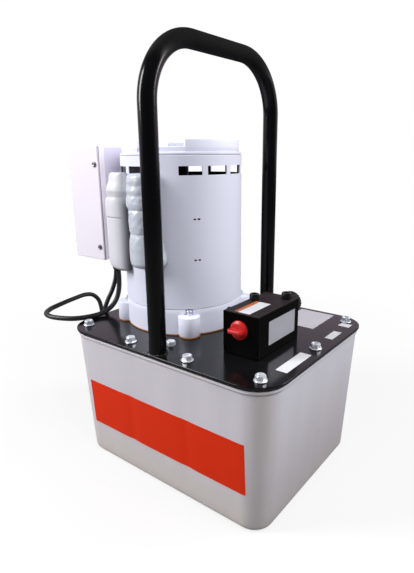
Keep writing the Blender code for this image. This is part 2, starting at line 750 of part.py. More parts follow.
def make_motor_housing():
    floor = BASE_BOTTOM + BASE_FLOOR
    hub = BEARING_SEAT + BEARING_HOUSING_WALL
    hub_top = LOWER_BEARING_LOW + BEARING_WIDTH + 2 * RUN
    base_profile = (
        (MOTOR_RADIUS, BASE_HEIGHT),
        (MOTOR_RADIUS, BASE_BOTTOM),
        (JOURNAL_RADIUS + BASE_WALL, BASE_BOTTOM),
        (JOURNAL_RADIUS + BASE_WALL, floor),
        (BEARING_SEAT, floor),
        (BEARING_SEAT, hub_top),
        (hub, hub_top),
        (hub, floor),
        (MOTOR_RADIUS - BASE_WALL, floor),
        (MOTOR_RADIUS - BASE_WALL, BASE_HEIGHT),
    )
    base = turned("motor_base", base_profile, MOTOR_AXIS)
    join(base, rods("base_lugs", LUG_RADIUS, lug_places(), BASE_BOTTOM, LUG_HEIGHT, MOTOR_AXIS, SMALL_ROUND))
    pocket = (LUG_HEIGHT, BASE_HEIGHT + THROUGH)
    cut(base, rods("lug_pockets", LUG_WASHER_RADIUS + RUN, lug_places(), *pocket, MOTOR_AXIS, BOLT_SIDES))
    hole = (BASE_BOTTOM - THROUGH, BASE_HEIGHT + THROUGH)
    cut(base, rods("lug_holes", LUG_BOLT_RADIUS + RUN, lug_places(), *hole, MOTOR_AXIS))
    finish(base, "white_paint")

    gasket = slab("motor_gasket", gasket_outlines(), SEAT, SEAT + MOTOR_GASKET_THICK, MOTOR_AXIS)
    finish(gasket, "gasket_tan")

    for number, (x, y) in enumerate(lug_places(), start=1):
        bolt = hex_bolt(
            f"lug_bolt_{number}",
            (MOTOR_X + x, MOTOR_Y + y, DECK + LUG_HEIGHT + SEAT),
            LUG_BOLT_RADIUS,
            LUG_BOLT_LENGTH,
            LUG_BOLT_HEX,
            LUG_BOLT_HEAD,
            LUG_WASHER_RADIUS,
            LUG_WASHER_THICK,
        )
        finish(bolt, "zinc")

    make_shell()
    make_end_bell()


def gasket_outlines():
    """The base casting's footprint with its lugs, drawn out by the gasket's margin, and its holes."""
    round_part = MOTOR_RADIUS + MOTOR_GASKET_MARGIN
    lug = LUG_RADIUS + MOTOR_GASKET_MARGIN
    outline = []
    steps = 2 * ROUND
    for i in range(steps):
        turn = 2 * math.pi * i / steps
        reach = round_part
        for x, y in lug_places():
            off = turn - math.atan2(y, x)
            across = LUG_CIRCLE * math.sin(off)
            if math.cos(off) > 0 and abs(across) < lug:
                reach = max(reach, LUG_CIRCLE * math.cos(off) + math.sqrt(lug**2 - across**2))
        outline.append((reach * math.cos(turn), reach * math.sin(turn)))
    holes = [circle(LUG_BOLT_RADIUS + RUN, place) for place in lug_places()]
    return [outline, circle(MOTOR_GASKET_BORE, sides=SMALL_ROUND)] + holes


def make_shell():
    profile = (
        (MOTOR_RADIUS, SHELL_HIGH),
        (MOTOR_RADIUS, SHELL_LOW),
        (SHELL_BORE, SHELL_LOW),
        (SHELL_BORE, SHELL_HIGH),
    )
    shell = turned("motor_shell", profile, MOTOR_AXIS)
    half_width = MOTOR_RADIUS * math.sin(WINDOW_ARC / 2)
    high = SHELL_HIGH - WINDOW_DROP
    size = (2 * SHELL_WALL + 2 * THROUGH, 2 * half_width, WINDOW_HEIGHT)
    bm = bmesh.new()
    for i in range(WINDOW_PLACES - 1):
        turn = WINDOW_FIRST + 2 * math.pi * i / WINDOW_PLACES
        out = Matrix.Translation((MOTOR_RADIUS - SHELL_WALL / 2, 0, high - WINDOW_HEIGHT / 2))
        place = Matrix.Rotation(turn, 4, "Z") @ out @ Matrix.Diagonal((*size, 1))
        bmesh.ops.create_cube(bm, size=1, matrix=place)
    cut(shell, from_bmesh("shell_windows", bm, MOTOR_AXIS))
    nipple = (NIPPLE_Y, DECK + NIPPLE_HEIGHT)
    left = MOTOR_X - MOTOR_RADIUS
    start, end = (left - THROUGH, *nipple), (left + SHELL_WALL + THROUGH, *nipple)
    cut(shell, rod_between("shell_nipple_hole", NIPPLE_RADIUS + SEAT, start, end, SMALL_ROUND))
    finish(shell, "white_paint")


def make_end_bell():
    flange_top = BELL_LOW + BELL_FLANGE
    drum = MOTOR_RADIUS - BELL_DRUM_INSET
    hub_low = UPPER_BEARING_HIGH - BEARING_WIDTH - SEAT
    roof = BELL_DRUM_TOP - BELL_ROOF
    hub = BEARING_SEAT + BEARING_HOUSING_WALL
    profile = (
        (0, BELL_DRUM_TOP),
        (drum, BELL_DRUM_TOP),
        (drum, flange_top),
        (MOTOR_RADIUS - BELL_FLANGE_INSET, flange_top),
        (MOTOR_RADIUS - BELL_FLANGE_INSET, BELL_LOW),
        (drum - BELL_ROOF, BELL_LOW),
        (drum - BELL_ROOF, roof),
        (hub, roof),
        (hub, hub_low),
        (BEARING_SEAT, hub_low),
        (BEARING_SEAT, UPPER_BEARING_HIGH + SEAT),
        (0, UPPER_BEARING_HIGH + SEAT),
    )
    bell = turned("motor_end_bell", profile, MOTOR_AXIS)
    outer = MOTOR_RADIUS - BELL_RIM_INSET
    inner = outer - BELL_RIM_WALL
    for number in range(BELL_RIM_COUNT):
        first = BELL_RIM_FIRST + 2 * math.pi * number / BELL_RIM_COUNT
        turns = [first + BELL_RIM_ARC * i / RIM_STEPS for i in range(RIM_STEPS + 1)]
        outline = [(outer * math.cos(t), outer * math.sin(t)) for t in turns]
        outline += [(inner * math.cos(t), inner * math.sin(t)) for t in reversed(turns)]
        low, high = flange_top - BELL_FLANGE / 2, BELL_DRUM_TOP + BELL_RIM_HEIGHT
        join(bell, slab(f"bell_rim_{number + 1}", [outline], low, high, MOTOR_AXIS))
    finish(bell, "white_paint")


def make_motor_inside():
    core_high = STATOR_CORE_LOW + STATOR_CORE_LENGTH
    outer = SHELL_BORE - RUN
    coil_outer, coil_inner = outer - WINDING_INSET, STATOR_BORE_RADIUS + WINDING_INSET
    low, high = STATOR_CORE_LOW - WINDING_OVERHANG, core_high + WINDING_OVERHANG
    stator_profile = (
        (coil_outer, high),
        (coil_outer, core_high),
        (outer, core_high),
        (outer, STATOR_CORE_LOW),
        (coil_outer, STATOR_CORE_LOW),
        (coil_outer, low),
        (coil_inner, low),
        (coil_inner, STATOR_CORE_LOW),
        (STATOR_BORE_RADIUS, STATOR_CORE_LOW),
        (STATOR_BORE_RADIUS, core_high),
        (coil_inner, core_high),
        (coil_inner, high),
    )
    finish(turned("wound_stator", stator_profile, MOTOR_AXIS, SMALL_ROUND), "copper_winding")

    ring = (STATOR_BORE_RADIUS - AIR_GAP, SHAFT_RADIUS + SEAT)
    rotor = plain_ring("rotor_core", *ring, STATOR_CORE_LOW - ROTOR_OVERHANG, core_high + ROTOR_OVERHANG)
    finish(rotor, "cast_aluminium", ROTOR)

    lower_step = LOWER_BEARING_LOW + BEARING_WIDTH + SEAT
    upper_step = UPPER_BEARING_HIGH - BEARING_WIDTH - SEAT
    shaft_profile = (
        (0, UPPER_BEARING_HIGH),
        (JOURNAL_RADIUS, UPPER_BEARING_HIGH),
        (JOURNAL_RADIUS, upper_step),
        (SHAFT_RADIUS, upper_step),
        (SHAFT_RADIUS, lower_step),
        (JOURNAL_RADIUS, lower_step),
        (JOURNAL_RADIUS, PUMP_COVER_LOW),
        (0, PUMP_COVER_LOW),
    )
    finish(turned("motor_shaft", shaft_profile, MOTOR_AXIS, SMALL_ROUND), "bare_steel", ROTOR)

    for name, bottom in (
        ("lower_bearing", LOWER_BEARING_LOW),
        ("upper_bearing", UPPER_BEARING_HIGH - BEARING_WIDTH),
    ):
        bearing = plain_ring(name, BEARING_RADIUS, BEARING_BORE, bottom, bottom + BEARING_WIDTH)
        finish(bearing, "bare_steel")

    disc_top = FAN_LOW + FAN_DISC
    fan_profile = (
        (FAN_HUB_RADIUS, FAN_LOW + FAN_HUB_HEIGHT),
        (FAN_HUB_RADIUS, disc_top),
        (FAN_RADIUS, disc_top),
        (FAN_RADIUS, FAN_LOW),
        (SHAFT_RADIUS + SEAT, FAN_LOW),
        (SHAFT_RADIUS + SEAT, FAN_LOW + FAN_HUB_HEIGHT),
    )
    fan = turned("cooling_fan", fan_profile, MOTOR_AXIS, SMALL_ROUND)
    bm = bmesh.new()
    inner, outer = FAN_HUB_RADIUS - FAN_HUB_WALL / 2, FAN_RADIUS - FAN_DISC
    bottom, top = FAN_LOW + FAN_DISC / 2, FAN_LOW + FAN_HUB_HEIGHT - FAN_DISC / 2
    size = (outer - inner, FAN_BLADE_THICK, top - bottom)
    for i in range(FAN_BLADES):
        out = Matrix.Translation(((inner + outer) / 2, 0, (bottom + top) / 2))
        place = Matrix.Rotation(2 * math.pi * i / FAN_BLADES, 4, "Z") @ out @ Matrix.Diagonal((*size, 1))
        bmesh.ops.create_cube(bm, size=1, matrix=place)
    join(fan, from_bmesh("fan_blades", bm, MOTOR_AXIS))
    finish(fan, "black_plastic", ROTOR)


def plain_ring(name, outer, inner, low, high):
    return turned(name, ((outer, high), (outer, low), (inner, low), (inner, high)), MOTOR_AXIS, SMALL_ROUND)


def cap_profile(side_radius, low):
    """The capacitor cover's turned outline, from the top to the bottom."""
    lid = side_radius + CAP_LID_OUT
    top = [(lid - step, height) for step, height in reversed(CAP_TIERS)]
    side = [(lid, CAP_SEAM), (side_radius, CAP_SEAM)]
    foot = []
    for i in range(FOOT_STEPS + 1):
        turn = math.pi / 2 * i / FOOT_STEPS
        radius = side_radius - CAP_FOOT_INSET * (1 - math.cos(turn))
        foot.append((radius, low + CAP_FOOT_ROUND * (1 - math.sin(turn))))
    profile = top + side + foot
    return [(0, profile[0][1])] + profile + [(0, profile[-1][1])]


def cap_hollow(side_radius, low):
    """The plainer space inside the capacitor cover."""
    (_, shoulder), (top_inset, top) = CAP_TIERS[0], CAP_TIERS[-1]
    inner = side_radius - CAP_WALL
    bottom = low + CAP_WALL
    return (
        (0, top - CAP_WALL),
        (inner - top_inset, top - CAP_WALL),
        (inner, shoulder - CAP_WALL),
        (inner, low + CAP_FOOT_ROUND),
        (inner - CAP_FOOT_INSET, bottom),
        (0, bottom),
    )


def make_capacitors():
    for side, turn in CAP_TURNS.items():
        away = Vector((math.cos(turn), math.sin(turn), 0))
        at = Vector(MOTOR_AXIS) + CAP_AXIS * away
        radius, low = CAP_RADII[side], CAP_LOWS[side]
        cover = turned(f"capacitor_cover_{side}", cap_profile(radius, low), at, SMALL_ROUND)
        cut(cover, turned(f"cover_hollow_{side}", cap_hollow(radius, low), at, SMALL_ROUND))
        heights = (low - THROUGH, CAP_TIERS[-1][1] + THROUGH)
        cut(cover, rods(f"cover_back_{side}", MOTOR_RADIUS + SEAT, [(0, 0)], *heights, MOTOR_AXIS, ROUND))
        finish(cover, "white_paint")

        flat = (CAPACITOR_WIDTH - CAPACITOR_DEPTH) / 2
        end = CAPACITOR_DEPTH / 2
        turns = [math.pi * i / CAN_STEPS - math.pi / 2 for i in range(CAN_STEPS + 1)]
        half = [(flat + end * math.cos(t), end * math.sin(t)) for t in turns]
        outline = half + [(-x, -y) for x, y in half]
        middle = Vector(MOTOR_AXIS) + (MOTOR_RADIUS + SEAT + end) * away
        can = slab(f"capacitor_{side}", [outline], CAPACITOR_LOW, CAPACITOR_LOW + CAPACITOR_HEIGHT, middle)
        can.rotation_euler.z = turn + math.pi / 2
        finish(can, "cast_aluminium")


def make_control_box():
    low = (BOX_LEFT, BOX_FRONT, DECK + BOX_LOW)
    high = (BOX_RIGHT, BOX_BACK, DECK + BOX_HIGH)
    control = box("control_box", low, high)
    inner_low = (BOX_LEFT + BOX_SHEET, BOX_FRONT - THROUGH, DECK + BOX_LOW + BOX_SHEET)
    inner_high = (BOX_RIGHT - BOX_SHEET, BOX_BACK - BOX_SHEET, DECK + BOX_HIGH - BOX_SHEET)
    cut(control, box("box_hollow", inner_low, inner_high))
    screw_x = BOX_RIGHT - LID_SCREW_INSET
    tab_front = BOX_FRONT + SEAT
    for side, height in LID_SCREW_HEIGHTS.items():
        tab_low = (BOX_RIGHT - LID_TAB, tab_front, DECK + height - LID_TAB / 2)
        tab_high = (BOX_RIGHT - BOX_SHEET / 2, tab_front + LID_TAB, DECK + height + LID_TAB / 2)
        join(control, box(f"lid_tab_{side}", tab_low, tab_high))
        start = (screw_x, BOX_FRONT - THROUGH, DECK + height)
        end = (screw_x, tab_front + LID_SCREW_LENGTH, DECK + height)
        cut(control, rod_between(f"lid_tab_hole_{side}", LID_SCREW_RADIUS + RUN, start, end))
    nipple = (NIPPLE_Y, DECK + NIPPLE_HEIGHT)
    start, end = (BOX_RIGHT - BOX_SHEET - THROUGH, *nipple), (BOX_RIGHT + THROUGH, *nipple)
    cut(control, rod_between("box_nipple_hole", NIPPLE_RADIUS + SEAT, start, end, SMALL_ROUND))
    grips = list(GRIP_PLACES.values())
    holes = (DECK + BOX_LOW - THROUGH, DECK + BOX_LOW + BOX_SHEET + THROUGH)
    cut(control, rods("box_grip_holes", GRIP_THREAD_RADIUS + RUN, grips, *holes))
    finish(control, "white_paint")

    margin = SEAT + BOX_LID_SHEET
    lid_low = (BOX_LEFT - margin, LID_FACE, DECK + BOX_LOW - margin)
    lid_high = (BOX_RIGHT + margin, LID_FACE + BOX_LID_LIP, DECK + BOX_HIGH + margin)
    lid = box("control_box_cover", lid_low, lid_high)
    hollow_low = (BOX_LEFT - SEAT, BOX_FRONT - SEAT, DECK + BOX_LOW - SEAT)
    hollow_high = (BOX_RIGHT + SEAT, LID_FACE + BOX_LID_LIP + THROUGH, DECK + BOX_HIGH + SEAT)
    cut(lid, box("lid_hollow", hollow_low, hollow_high))
    for side, height in LID_SCREW_HEIGHTS.items():
        start = (screw_x, LID_FACE - THROUGH, DECK + height)
        end = (screw_x, BOX_FRONT + THROUGH, DECK + height)
        cut(lid, rod_between(f"lid_hole_{side}", LID_SCREW_RADIUS + RUN, start, end))
        at = (screw_x, LID_FACE - SEAT, DECK + height)
        profile = (
            (0, LID_SCREW_HEAD),
            (LID_SCREW_CROWN, LID_SCREW_HEAD),
            (LID_SCREW_HEAD_RADIUS, LID_SCREW_EDGE),
            (LID_SCREW_HEAD_RADIUS, 0),
            (LID_SCREW_RADIUS, 0),
            (LID_SCREW_RADIUS, -LID_SCREW_LENGTH),
            (0, -LID_SCREW_LENGTH),
        )
        screw = turned(f"cover_screw_{side}", profile, at, HOLE_SIDES)
        screw.rotation_euler.x = math.pi / 2
        finish(screw, "zinc")
    finish(lid, "white_paint")
    make_box_inside()


def make_box_inside():
    wall = BOX_SHEET + SEAT
    profile = (
        (NIPPLE_RADIUS, BOX_STANDOFF + NIPPLE_REACH),
        (NIPPLE_RADIUS, BOX_STANDOFF - SEAT),
        (NIPPLE_COLLAR_RADIUS, BOX_STANDOFF - SEAT),
        (NIPPLE_COLLAR_RADIUS, SEAT),
        (NIPPLE_RADIUS, SEAT),
        (NIPPLE_RADIUS, -wall),
        (NIPPLE_COLLAR_RADIUS, -wall),
        (NIPPLE_COLLAR_RADIUS, -wall - NIPPLE_NUT),
        (NIPPLE_BORE, -wall - NIPPLE_NUT),
        (NIPPLE_BORE, BOX_STANDOFF + NIPPLE_REACH),
    )
    nipple = turned("box_nipple", profile, (BOX_RIGHT, NIPPLE_Y, DECK + NIPPLE_HEIGHT), BOLT_SIDES)
    nipple.rotation_euler.y = math.pi / 2
    finish(nipple, "zinc")

    back = BOX_BACK - BOX_SHEET - SEAT
    middle = (BOX_LEFT + BOX_RIGHT) / 2
    left, right = middle - CONTACTOR_WIDTH / 2, middle + CONTACTOR_WIDTH / 2
    low, high = DECK + CONTACTOR_LOW, DECK + CONTACTOR_LOW + CONTACTOR_HEIGHT
    front = back - CONTACTOR_DEPTH
    contactor = box("contactor", (left, front + CONTACTOR_STEP, low), (right, back, high))
    raised_low = (left + SEAT, front, low + CONTACTOR_STEP)
    raised_high = (right - SEAT, back - CONTACTOR_STEP, high - CONTACTOR_STEP)
    join(contactor, box("contactor_front", raised_low, raised_high))
    finish(contactor, "black_plastic")


def make_cord_grips():
    for lead, diameter in (("power", POWER_CORD_DIAMETER), ("pendant", PENDANT_CORD_DIAMETER)):
        x, y = GRIP_PLACES[lead]
        nut_low = BOX_LOW + BOX_SHEET + SEAT
        hex_low, hex_high = GRIP_LOW + GRIP_NOSE, BOX_LOW - SEAT
        nose = diameter / 2 + GRIP_NOSE_WALL
        sections = [
            bolt_ring(nose, GRIP_LOW),
            bolt_ring(GRIP_HEX / 2 - SEAT, hex_low - SEAT),
            at_height(hexagon(GRIP_HEX), hex_low),
            at_height(hexagon(GRIP_HEX), hex_high),
            bolt_ring(GRIP_THREAD_RADIUS, hex_high),
            bolt_ring(GRIP_THREAD_RADIUS, nut_low),
            at_height(hexagon(GRIP_HEX), nut_low),
            at_height(hexagon(GRIP_HEX), nut_low + GRIP_NUT),
        ]
        finish(loft(f"{lead}_cord_grip", sections, (x, y, DECK)), "black_plastic")


def smooth_route(points, spacing):
    """Evenly spaced points on a smooth curve through a route's own points."""
    points = [Vector(p) for p in points]
    points = [2 * points[0] - points[1]] + points + [2 * points[-1] - points[-2]]
    fine = []
    for before, start, end, after in zip(points, points[1:], points[2:], points[3:]):
        knots = [0.0]
        for a, b in ((before, start), (start, end), (end, after)):
            knots.append(knots[-1] + (b - a).length ** 0.5)
        leave = tangent(before, start, end, knots[:3]) * (knots[2] - knots[1])
        arrive = tangent(start, end, after, knots[1:]) * (knots[2] - knots[1])
        for i in range(ROUTE_STEPS):
            t = i / ROUTE_STEPS
            fine.append(
                start * (2 * t**3 - 3 * t**2 + 1)
                + leave * (t**3 - 2 * t**2 + t)
                + end * (3 * t**2 - 2 * t**3)
                + arrive * (t**3 - t**2)
            )
    fine.append(points[-2])
    return spaced(fine, spacing)


def tangent(before, middle, after, knots):
    first, second = knots[1] - knots[0], knots[2] - knots[1]
    return (middle - before) / first - (after - before) / (first + second) + (after - middle) / second


def length_of(points):
    return sum((b - a).length for a, b in zip(points, points[1:]))


def spaced(points, spacing):
    total = length_of(points)
    count = max(2, round(total / spacing))
    marks, made, walked = [total * i / count for i in range(1, count)], [points[0]], 0.0
    for a, b in zip(points, points[1:]):
        step = (b - a).length
        while marks and walked + step >= marks[0]:
            made.append(a.lerp(b, (marks.pop(0) - walked) / step))
        walked += step
    return made + [points[-1]]


def coil_line(start, turns, length, diameter):
    """The middle line of a two-layer coil that begins at its -X side heading +Y, and turns clockwise.

    It spirals in on the floor, climbs a layer in the half turn where the spiral reverses, spirals out on
    top, and ends in a straight tail. Its inner radius follows from the length of cord that it holds.
    """
    pitch = COIL_PITCH * diameter
    spiral = (turns - COIL_CLIMB) / 2
    wound = length - diameter - COIL_TAIL
    inner = (wound / (2 * math.pi) - spiral**2 * pitch) / turns
    outer = inner + spiral * pitch
    start = Vector(start)
    centre = start + Vector((outer, diameter, 0))
    points = [start]
    steps = round(turns * COIL_POINTS)
    for i in range(steps + 1):
        turn = turns * i / steps
        into, out = min(turn, spiral), max(turn - spiral - COIL_CLIMB, 0)
        climb = min(max((turn - spiral) / COIL_CLIMB, 0), 1)
        radius = outer - (into - out) * pitch
        angle = math.pi - 2 * math.pi * turn
        rise = pitch * climb
        points.append(centre + Vector((radius * math.cos(angle), radius * math.sin(angle), rise)))
    heading = Vector((math.sin(angle), -math.cos(angle), 0))
    tail = points[-1]
    points += [tail + heading * COIL_TAIL / 2, tail + heading * COIL_TAIL]
    return points, heading


def least_gap(points, diameter):
    """The least space between two stretches of a wound tube that are over half a turn apart."""
    apart = COIL_POINTS // 2
    pairs = ((a, b) for i, a in enumerate(points) for b in points[i + apart:])
    return min((a - b).length for a, b in pairs) - diameter


def make_lead(lead, route, diameter, length, turns):
    """The free stretch of a lead and its coil. Returns where the coil ends, and its heading there."""
    free = smooth_route(route, CORD_SPACING * diameter)
    finish(tube(f"{lead}_cord", free, diameter / 2), "rubber")
    start = free[-1] + Vector((0, SEAT, 0))
    coil, heading = coil_line(start, turns, length - length_of(free), diameter)
    finish(tube(f"{lead}_cord_coil", coil, diameter / 2, COIL_STEPS), "rubber")
    print(f"{lead} lead: free {length_of(free):.3f} m, coil {length_of(coil):.3f} m,", end=" ")
    print(f"least gap between turns {1000 * least_gap(coil, diameter):.2f} mm")
    return coil[-1], heading


def make_power_lead():
    end, heading = make_lead(
        "power", POWER_ROUTE, POWER_CORD_DIAMETER, POWER_CORD_LENGTH, POWER_COIL_TURNS
    )
    outline = rounded_rectangle(PLUG_LENGTH / 2, PLUG_WIDTH / 2, PLUG_CORNER, SMALL_CORNER_STEPS)
    at = end + heading * (PLUG_LENGTH / 2 + SEAT)
    plug = slab("power_plug", [outline], -end.z + SEAT, PLUG_HEIGHT - end.z, at)
    turn = math.atan2(heading.y, heading.x)
    plug.rotation_euler.z = turn
    for side in (-1, 1):
        y = side * PLUG_BLADE_SPACING / 2
        low = (PLUG_LENGTH / 2 - SEAT, y - PLUG_BLADE_THICK / 2, -PLUG_BLADE_WIDTH / 2)
        high = (PLUG_LENGTH / 2 + PLUG_BLADE_LENGTH, y + PLUG_BLADE_THICK / 2, PLUG_BLADE_WIDTH / 2)
        blade = box(f"plug_blade_{side}", low, high, at)
        blade.rotation_euler.z = turn
        join(plug, blade)
    finish(plug, "black_plastic")


def make_pendant():
    end, heading = make_lead(
        "pendant", PENDANT_ROUTE, PENDANT_CORD_DIAMETER, PENDANT_CORD_LENGTH, PENDANT_COIL_TURNS
    )
    at = end + heading * (PENDANT_LENGTH / 2 + SEAT)
    low, high = SEAT - end.z, PENDANT_HEIGHT - end.z
    outline = rounded_rectangle(PENDANT_LENGTH / 2, PENDANT_WIDTH / 2, PENDANT_CORNER, SMALL_CORNER_STEPS)
    body = slab("pendant_body", [outline], low, high, at)
    well = high - BUTTON_DEPTH - BUTTON_TRAVEL - RUN
    pocket = rods("button_well", BUTTON_RADIUS + RUN, [(0, 0)], well, high + THROUGH, at, SMALL_ROUND)
    cut(body, pocket)
    finish(body, "black_plastic")
    foot = high - BUTTON_DEPTH
    button = rods("pendant_button", BUTTON_RADIUS, [(0, 0)], foot, high + BUTTON_PROUD, at, SMALL_ROUND)
    finish(button, "red_plastic")


def make_valve_block():
    half = BLOCK_WIDTH / 2
    low = (BLOCK_X - half, BLOCK_FRONT, DECK + SEAT)
    high = (BLOCK_X + half, BLOCK_BACK, DECK + BLOCK_TOP)
    block = box("valve_block", low, high, edge=BLOCK_EDGE)
    port = DECK + PORT_HEIGHT
    bottom = BLOCK_FRONT + PORT_DEPTH
    cut(
        block,
        rod_between("port_bore", PORT_RADIUS + RUN, (PORT_X, BLOCK_FRONT - THROUGH, port),
                    (PORT_X, bottom, port), SMALL_ROUND),
        rod_between("port_gallery", GALLERY_RADIUS, (PORT_X, bottom - THROUGH, port),
                    (PORT_X, BLOCK_Y, port)),
        rods("pipe_bore", PIPE_RADIUS + RUN, [(PORT_X, BLOCK_Y)], DECK - THROUGH, port, sides=SMALL_ROUND),
        rods("block_screw_holes", BLOCK_SCREW_RADIUS + RUN, BLOCK_SCREW_PLACES, DECK - THROUGH,
             DECK + BLOCK_TOP + THROUGH),
        rod_between("knob_bore", KNOB_STEM_RADIUS + RUN, (KNOB_X, BLOCK_BACK + THROUGH, DECK + KNOB_HEIGHT),
                    (KNOB_X, BLOCK_BACK - KNOB_STEM - RUN, DECK + KNOB_HEIGHT), SMALL_ROUND),
    )
    finish(block, "black_block")

    for number, (x, y) in enumerate(BLOCK_SCREW_PLACES, start=1):
        tip = -BLOCK_TOP - SEAT - PLATE_THICK - BLOCK_SCREW_TIP
        at = (x, y, DECK + BLOCK_TOP + SEAT)
        profile = (
            (0, BLOCK_SCREW_HEAD),
            (BLOCK_SCREW_HEAD_RADIUS, BLOCK_SCREW_HEAD),
            (BLOCK_SCREW_HEAD_RADIUS, 0),
            (BLOCK_SCREW_RADIUS, 0),
            (BLOCK_SCREW_RADIUS, tip),
            (0, tip),
        )
        screw = turned(f"block_screw_{number}", profile, at, SMALL_ROUND)
        socket = (BLOCK_SCREW_HEAD / 2, BLOCK_SCREW_HEAD + THROUGH)
        cut(screw, rods(f"screw_socket_{number}", BLOCK_SCREW_SOCKET, [(0, 0)], *socket, at, HEX_SIDES))
        finish(screw, "bare_steel")
    make_port_plug()
    make_relief_knob()


def make_port_plug():
    at = (PORT_X, BLOCK_FRONT - SEAT, DECK + PORT_HEIGHT)
    shank = PORT_DEPTH - RUN
    profile = (
        (0, PORT_PLUG_FLANGE),
        (PORT_PLUG_RADIUS - PORT_PLUG_EDGE, PORT_PLUG_FLANGE),
        (PORT_PLUG_RADIUS, PORT_PLUG_FLANGE - PORT_PLUG_EDGE),
        (PORT_PLUG_RADIUS, 0),
        (PORT_RADIUS, 0),
        (PORT_RADIUS, -shank),
        (0, -shank),
    )
    plug = turned("port_plug", profile, at, SMALL_ROUND)
    plug.rotation_euler.x = math.pi / 2
    face = BLOCK_FRONT - SEAT - PORT_PLUG_FLANGE
    half_long, half_thick = PORT_PLUG_FIN_LENGTH / 2, PORT_PLUG_FIN_THICK / 2
    fin_low = (PORT_X - half_long, face - PORT_PLUG_FIN, DECK + PORT_HEIGHT - half_thick)
    fin_high = (PORT_X + half_long, face + PORT_PLUG_FLANGE / 2, DECK + PORT_HEIGHT + half_thick)
    join(plug, box("plug_fin", fin_low, fin_high))
    finish(plug, "red_plastic")


def make_relief_knob():
    outline = []
    steps = FLUTE_STEPS * KNOB_FLUTES
    for i in range(steps):
        turn = 2 * math.pi * i / steps
        radius = KNOB_RADIUS - KNOB_FLUTE_DEPTH * (1 - math.cos(KNOB_FLUTES * turn)) / 2
        outline.append((radius * math.cos(turn), radius * math.sin(turn)))
    at = (KNOB_X, BLOCK_BACK, DECK + KNOB_HEIGHT)
    knob = slab("relief_knob", [outline], -KNOB_LENGTH / 2, KNOB_LENGTH / 2,
                (at[0], at[1] + SEAT + KNOB_LENGTH / 2, at[2]))
    knob.rotation_euler.x = -math.pi / 2
    stem = rod_between("knob_stem", KNOB_STEM_RADIUS, (at[0], at[1] - KNOB_STEM, at[2]),
                       (at[0], at[1] + KNOB_LENGTH / 2, at[2]), SMALL_ROUND)
    join(knob, stem)
    finish(knob, "black_plastic")


def gear_outline(turn):
    """An involute gear of the pump, with a tooth's middle at the given turn."""
    base = GEAR_PITCH_RADIUS * math.cos(GEAR_PRESSURE_ANGLE)
    root = GEAR_PITCH_RADIUS - GEAR_DEDENDUM * GEAR_MODULE

    def involute(angle):
        return math.tan(angle) - angle

    def half_tooth(radius):
        half = math.pi / (2 * GEAR_TEETH) - GEAR_BACKLASH / (2 * GEAR_PITCH_RADIUS)
        return half + involute(GEAR_PRESSURE_ANGLE) - involute(math.acos(min(1, base / radius)))

    flank = [(radius, half_tooth(radius)) for radius in (root, max(base, root), GEAR_TIP_RADIUS)]
    points = []
    for tooth in range(GEAR_TEETH):
        middle = turn + 2 * math.pi * tooth / GEAR_TEETH
        side = [(radius, middle - half) for radius, half in flank]
        side += [(radius, middle + half) for radius, half in reversed(flank)]
        points += [(radius * math.cos(a), radius * math.sin(a)) for radius, a in side]
    return points


